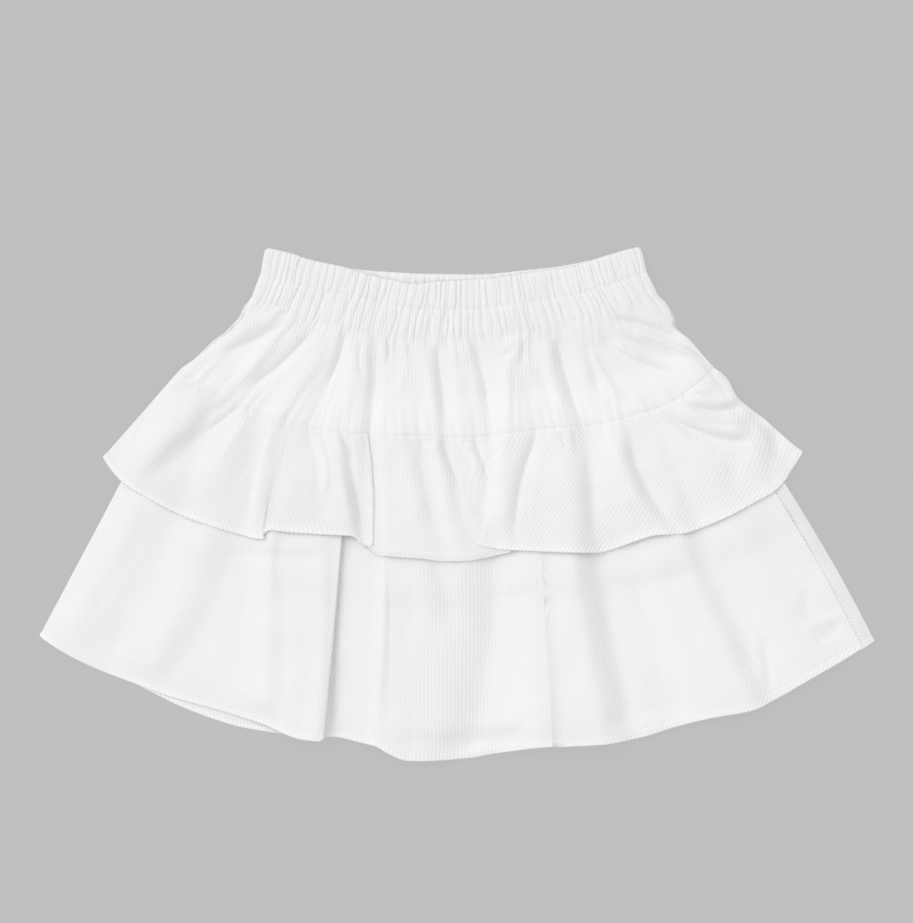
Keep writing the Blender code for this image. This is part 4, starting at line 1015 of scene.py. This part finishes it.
grid, grain, v, at = panel(
    RUFFLE_BACK_FOLDS, SEAM_LINE, None, 76.0, 0.5, EDGE_IN, 0.5, RUFFLE_SIDES, step=2.6, down=3.4
)
v_mm = v * 76.0
grid[:, :, 2] += 0.5 * ease(1.0) + 0.1
grid[:, :, 2] += np.maximum(soft_noise(grid, 30.0, 0.15, SEED + 1), -0.1)
ribs, along = rib_field(grid, grain, 0.55, turns(RUFFLE_BACK_FOLDS, at))
thick = np.broadcast_to(hem_thickness(v_mm, 76.0), grid.shape[:2])
ruffle_back, up, low = shell(
    "ruffle_back_knit", grid, thick, ribs, along, 0.0, 76.0 - v_mm[None, :]
)
facts["ruffle_back"] = grid
tiers.add(up)

v0 = 205.0
grid, grain, v, at = panel(
    LOWER_BACK_FOLDS, SEAM_LINE, None, v0, 0.38, EDGE_IN, 0.5, step=2.8, down=2.0
)
v_mm = v * v0
last = grid[-1].copy()
steps = np.linspace(0, 5, 26)[1:]
wrap_table = np.array(SIDE_WRAP)
wrap_at = smooth(np.arange(len(wrap_table)), wrap_table, steps)
wrap = []
for at_seam, at_hem, height in wrap_at:
    line = last.copy()
    line[:, 0] += at_seam + (at_hem - at_seam) * v
    line[:, 1] += 0.7 * at_hem * v
    line[:, 2] = last[:, 2] + height
    wrap.append(line)
wrap_first = len(grid)
grid = np.concatenate([grid, np.array(wrap)])
grain = np.concatenate([grain, np.full(len(wrap), 30.0)])
over = 0.9 + CLOTH + LAYER_GAP + 0.5
over = over * (1 - ease((v - DROP[0]) / (DROP[1] - DROP[0])))
grid[:, :, 2] += over + CLOTH / 2
noise = soft_noise(grid, 34.0, 0.15, SEED + 2)
noise[wrap_first:] = noise[wrap_first]
grid[:, :, 2] += np.maximum(noise, -0.1)
ribs, along = rib_field(grid, grain, 0.55, [(0, wrap_first), (wrap_first, len(grid))])
thick = np.broadcast_to(hem_thickness(v_mm, v0), grid.shape[:2])
# The side strip that wraps round to the front gets twice the rib strength: deeper ribs, and twice the
# painted groove shade, which darkens the whole strip as painted shade.
lower_back, up, low = shell(
    "lower_back_knit", grid, thick, ribs, along, 0.0, (v0 - v_mm)[None, :],
    np.where(np.arange(len(grid)) < wrap_first, 0.9, 1.8)[:, None]
)
facts["lower_back"] = grid
tiers.add(up[:wrap_first])
strip = up[wrap_first - 1:]

rest = tiers.rest(7.0, 4)
v0 = 210.0
grid, grain, v, at = panel(
    LOWER_FRONT_FOLDS, SEAM_LINE, None, v0, 0.48, EDGE_IN, 0.6, step=1.75, down=2.5
)
v_mm = v * v0
grid[:, :, 2] += tiers.sample(rest, grid[:, :, 0], grid[:, :, 1])
grid[:, :, 2] += LAYER_GAP + 0.55 + CLOTH / 2
grid = add_creases(grid, LOWER_CREASES)
grid[:, :, 2] += soft_noise(grid, 26.0, 0.22, SEED + 3)
thick = np.broadcast_to(hem_thickness(v_mm, v0), grid.shape[:2])
held = 0.22 + 0.63 * ease((-112.0 - grid[:, :, 0]) / 18.0)
held += 0.45 * np.exp(-(((grid[:, :, 0] - 15.0) / 20.0) ** 2))
grid = settle(grid, tiers, v_mm, v0, thick, held, 20.0, 1.5, 1)
ribs, along = rib_field(grid, grain, 0.6, turns(LOWER_FRONT_FOLDS, at))
clear = 0.62 + 0.45 * np.exp(-(((grid[:, :, 0] + 2.0) / 34.0) ** 2))
lower_front, up, low = shell(
    "lower_front_knit", grid, thick, ribs, along, 0.0, (v0 - v_mm)[None, :], clear
)
facts["lower_front"] = grid
tiers.add(up, 2)
tiers.add(strip)

rest = tiers.rest(7.0, 6)
v0 = 77.0
grid, grain, v, at = panel(
    RUFFLE_FRONT_FOLDS, SEAM_LINE, None, v0, 0.5, EDGE_IN, 0.6, RUFFLE_SIDES, step=1.6, down=2.2
)
v_mm = v * v0
grid[:, :, 2] += tiers.sample(rest, grid[:, :, 0], grid[:, :, 1])
grid[:, :, 2] += LAYER_GAP + 0.1 + CLOTH / 2
grid = add_creases(grid, RUFFLE_CREASES)
grid[:, :, 2] += soft_noise(grid, 20.0, 0.20, SEED + 4)
run = row_run(grid, 0)
grid[:, :, 2] += gathers(grid, run, v_mm, 5.8, 1.0, 9.0, SEED + 11)
grid[:, :, 2] -= seam_roll(v_mm, v0, 0.25, 0.0)[None, :]
thick = np.broadcast_to(hem_thickness(v_mm, v0), grid.shape[:2])
held = 0.62 + 0.26 * ease((-112.0 - grid[:, :, 0]) / 16.0)
held -= 0.10 * np.exp(-(((grid[:, :, 0] + 12.0) / 34.0) ** 2))
grid = settle(grid, tiers, v_mm, v0, thick, held, 30.0, 3.0, 10)
ribs, along = rib_field(grid, grain, 0.6, turns(RUFFLE_FRONT_FOLDS, at))
clear = 1.05 + 0.15 * ease((-20.0 - grid[:, :, 0]) / 60.0)
clear -= 0.6 * np.exp(-(((grid[:, :, 0] + 12.0) / 44.0) ** 4)) * ease((v_mm - 46.0) / 10.0)
ruffle, ruffle_parts = grid, (thick, ribs, along)
ruffle_hem, ruffle_clear = (v0 - v_mm)[None, :], clear
ruffle_v = v_mm
ruffle_edge = grid[:, 0].copy()

# Yoke.
v0 = 78.0
grid, grain, v, at = panel(
    YOKE_BACK_FOLDS, WAIST_LINE, SEAM_LINE, v0, 0.5, EDGE_IN, EDGE_IN, YOKE_SIDES, step=2.4, down=3.0
)
v_mm = v * v0
run = row_run(grid, 0)
grid[:, :, 2] += CLOTH / 2
grid[:, :, 2] += np.maximum(soft_noise(grid, 26.0, 0.15, SEED + 6), -0.1)
ribs, along = rib_field(grid, grain, 0.5)
thick = np.full(grid.shape[:2], CLOTH)
yoke_back, up, low = shell("yoke_back_knit", grid, thick, ribs, along, floor=0.0)
facts["yoke_back"] = grid
yoke = HeightMap()
yoke.add(up)

waistband_back, found_back, back_edge = waistband(
    "waistband_back_knit", BACK_TOP_LINE, 0.0, BAND_UNDER, 50, 1.2, SEED + 30, step=1.0
)
waistband_front, found, band_edge = waistband(
    "waistband_front_knit", FRONT_TOP_LINE, BAND_UNDER + LAYER_GAP, BAND_OVER,
    57, 1.3, SEED + 31, step=0.45
)

rest = yoke.rest(6.0, 3)
grid, grain, v, at = panel(
    YOKE_FRONT_FOLDS, WAIST_LINE, SEAM_LINE, v0, 0.5, EDGE_IN, EDGE_IN, YOKE_SIDES, step=1.25, down=2.0
)
v_mm = v * v0
grid[:, :, 2] += yoke.sample(rest, grid[:, :, 0], grid[:, :, 1]) + LAYER_GAP + CLOTH / 2
order = np.argsort(ruffle_edge[:, 0])
edge_z = np.interp(grid[:, -1, 0], ruffle_edge[order, 0], ruffle_edge[order, 2])
join = ease((v - 0.55) / 0.45)[None, :]
grid[:, :, 2] = grid[:, :, 2] * (1 - join) + join * (
    edge_z[:, None] + 0.6 + 0.5 * (grid[:, :, 2] - grid[:, :, 2].mean())
)
grid = add_creases(grid, YOKE_CREASES)
grid[:, :, 2] += soft_noise(grid, 18.0, 0.18, SEED + 7)
# The yoke starts at the height of the waistband's edge, and the gathers there
# run on into it for different lengths.
low_place = np.sort(found["place"] + found["shift"] / len(found["place"]))
x_top = grid[:, 0, 0]
share = (x_top - x_top.min()) / (x_top.max() - x_top.min())
lift = np.interp(x_top, band_edge[:, 0], band_edge[:, 1]) - CLOTH / 2 - grid[:, 0, 2]
window = np.hanning(15)
padded = np.concatenate([np.full(7, lift[0]), lift, np.full(7, lift[-1])])
broad = np.convolve(padded, window / window.sum(), "valid")
rng = np.random.default_rng(SEED + 8)
far = rng.uniform(5.0, 17.0, len(low_place)) * np.where(rng.random(len(low_place)) < 0.3, 1.8, 1.0)
far = np.interp(share, low_place, far)
grid[:, :, 2] += broad[:, None] * (1 - ease(v / 0.35))[None, :]
grid[:, :, 2] += (lift - broad)[:, None] * np.exp(-((v_mm[None, :] / far[:, None]) ** 2))
for k, place in enumerate(low_place):
    reach = rng.uniform(8.0, 26.0)
    wide = 0.3 / len(low_place) * (1 + v_mm / 16.0)
    centre = place + rng.uniform(-0.2, 0.2) / len(low_place)
    d = (share[:, None] - centre) / wide[None, :]
    fade = (np.exp(-((v_mm / reach) ** 2)) * ease(v_mm / 3.0))[None, :]
    grid[:, :, 2] -= rng.uniform(0.1, 0.75) * np.exp(-d * d) * fade
run = row_run(grid, grid.shape[1] - 1)
grid[:, :, 2] += gathers(grid, run, v_mm[-1] - v_mm, 9.5, 0.12, 6.0, SEED + 12)
grid[:, :, 2] -= seam_roll(v_mm, v_mm[-1], 0.1, 0.25)[None, :]
ribs, along = rib_field(grid, grain, 0.5, turns(YOKE_FRONT_FOLDS, at))
thick = np.full(grid.shape[:2], CLOTH)
clear = 1.0 - 0.45 * ease((v - 0.25) / 0.5)[None, :]
yoke_front, up, low = shell("yoke_front_knit", grid, thick, ribs, along, 0.0, None, clear)
facts["yoke_front"] = grid

# The ruffle's top edge meets the yoke's edge.
order = np.argsort(grid[:, -1, 0])
meet = np.interp(ruffle[:, 0, 0], grid[order, -1, 0], grid[order, -1, 2])
rise = np.clip(meet - ruffle[:, 0, 2], -0.4, 6.0)
ruffle[:, :, 2] += rise[:, None] * np.exp(-((ruffle_v[None, :] / 11.0) ** 2))
ruffle[:, :, 2] -= 0.2 * np.exp(-((ruffle_v[None, :] / 1.1) ** 2))
ruffle_front, up, low = shell(
    "ruffle_front_knit", ruffle, *ruffle_parts, 0.0, ruffle_hem, ruffle_clear
)
facts["ruffle_front"] = ruffle

finish_piece(ruffle_back, "ruffle_back", "rib_knit")
finish_piece(lower_back, "lower_back", "rib_knit")
finish_piece(lower_front, "lower_front", "rib_knit")
finish_piece(ruffle_front, "ruffle_front", "rib_knit")
finish_piece(yoke_back, "yoke_back", "rib_knit")
finish_piece(yoke_front, "yoke_front", "rib_knit")
finish_piece(waistband_back, "waistband_back", "waistband_knit")
finish_piece(waistband_front, "waistband_front", "waistband_knit")

for name, g in facts.items():
    top = row_run(g, 0)[-1]
    hem = row_run(g, g.shape[1] - 1)[-1]
    quads = (g[1:, 1:] - g[:-1, :-1], g[1:, :-1] - g[:-1, 1:])
    area = 0.5 * np.linalg.norm(np.cross(*quads), axis=2).sum() / 1e6
    down = np.linalg.norm(np.diff(g, axis=1), axis=2).sum(1)
    print("cloth", name, "top %.0f hem %.0f mm, down %.0f to %.0f mm, %.4f m2"
          % (top, hem, down.min(), down.max(), area))

# -------------------------------------------------------------------- stage
mesh = bpy.data.meshes.new("floor")
mesh.from_pydata(
    [(-4, -4, -0.0001), (4, -4, -0.0001), (4, 4, -0.0001), (-4, 4, -0.0001)],
    [], [(0, 1, 2, 3)],
)
floor = bpy.data.objects.new("floor", mesh)
floor.data.materials.append(plain("pale_floor", (0.062, 0.062, 0.062), 0.95, 0.46))
bpy.context.scene.collection.objects.link(floor)

world = bpy.data.worlds.new("soft_room")
bpy.context.scene.world = world
world.use_nodes = True
sky = world.node_tree.nodes["Background"]
sky.inputs["Color"].default_value = (1.0, 0.998, 0.982, 1.0)
sky.inputs["Strength"].default_value = 0.80

sun = bpy.data.lights.new("key", "SUN")
sun.energy = 0.92
sun.color = (0.965, 0.985, 1.0)
sun.angle = math.radians(45)
key = bpy.data.objects.new("key", sun)
key.rotation_mode = "QUATERNION"
key.rotation_quaternion = Vector((-0.56, 0.40, 0.72)).to_track_quat("Z", "Y")
bpy.context.scene.collection.objects.link(key)

view = bpy.context.scene.view_settings
view.view_transform = "Standard"
view.look = "None"
view.exposure = 0.0
view.gamma = 1.0

lens = 150.0
sensor = 36.0
frame_height = 923 / 1.5 / 1000.0
camera = bpy.data.cameras.new("photo_camera")
camera.lens = lens
camera.sensor_width = sensor
camera.clip_start = 0.05
camera.clip_end = 50.0
eye = bpy.data.objects.new("photo_camera", camera)
eye.location = (-CENTRE[0] / 1000, 0.02833, 0.004 + frame_height * lens / sensor)
eye.rotation_euler = (0.0, 0.0, 0.0)
bpy.context.scene.collection.objects.link(eye)
bpy.context.scene.camera = eye

bpy.context.view_layer.update()
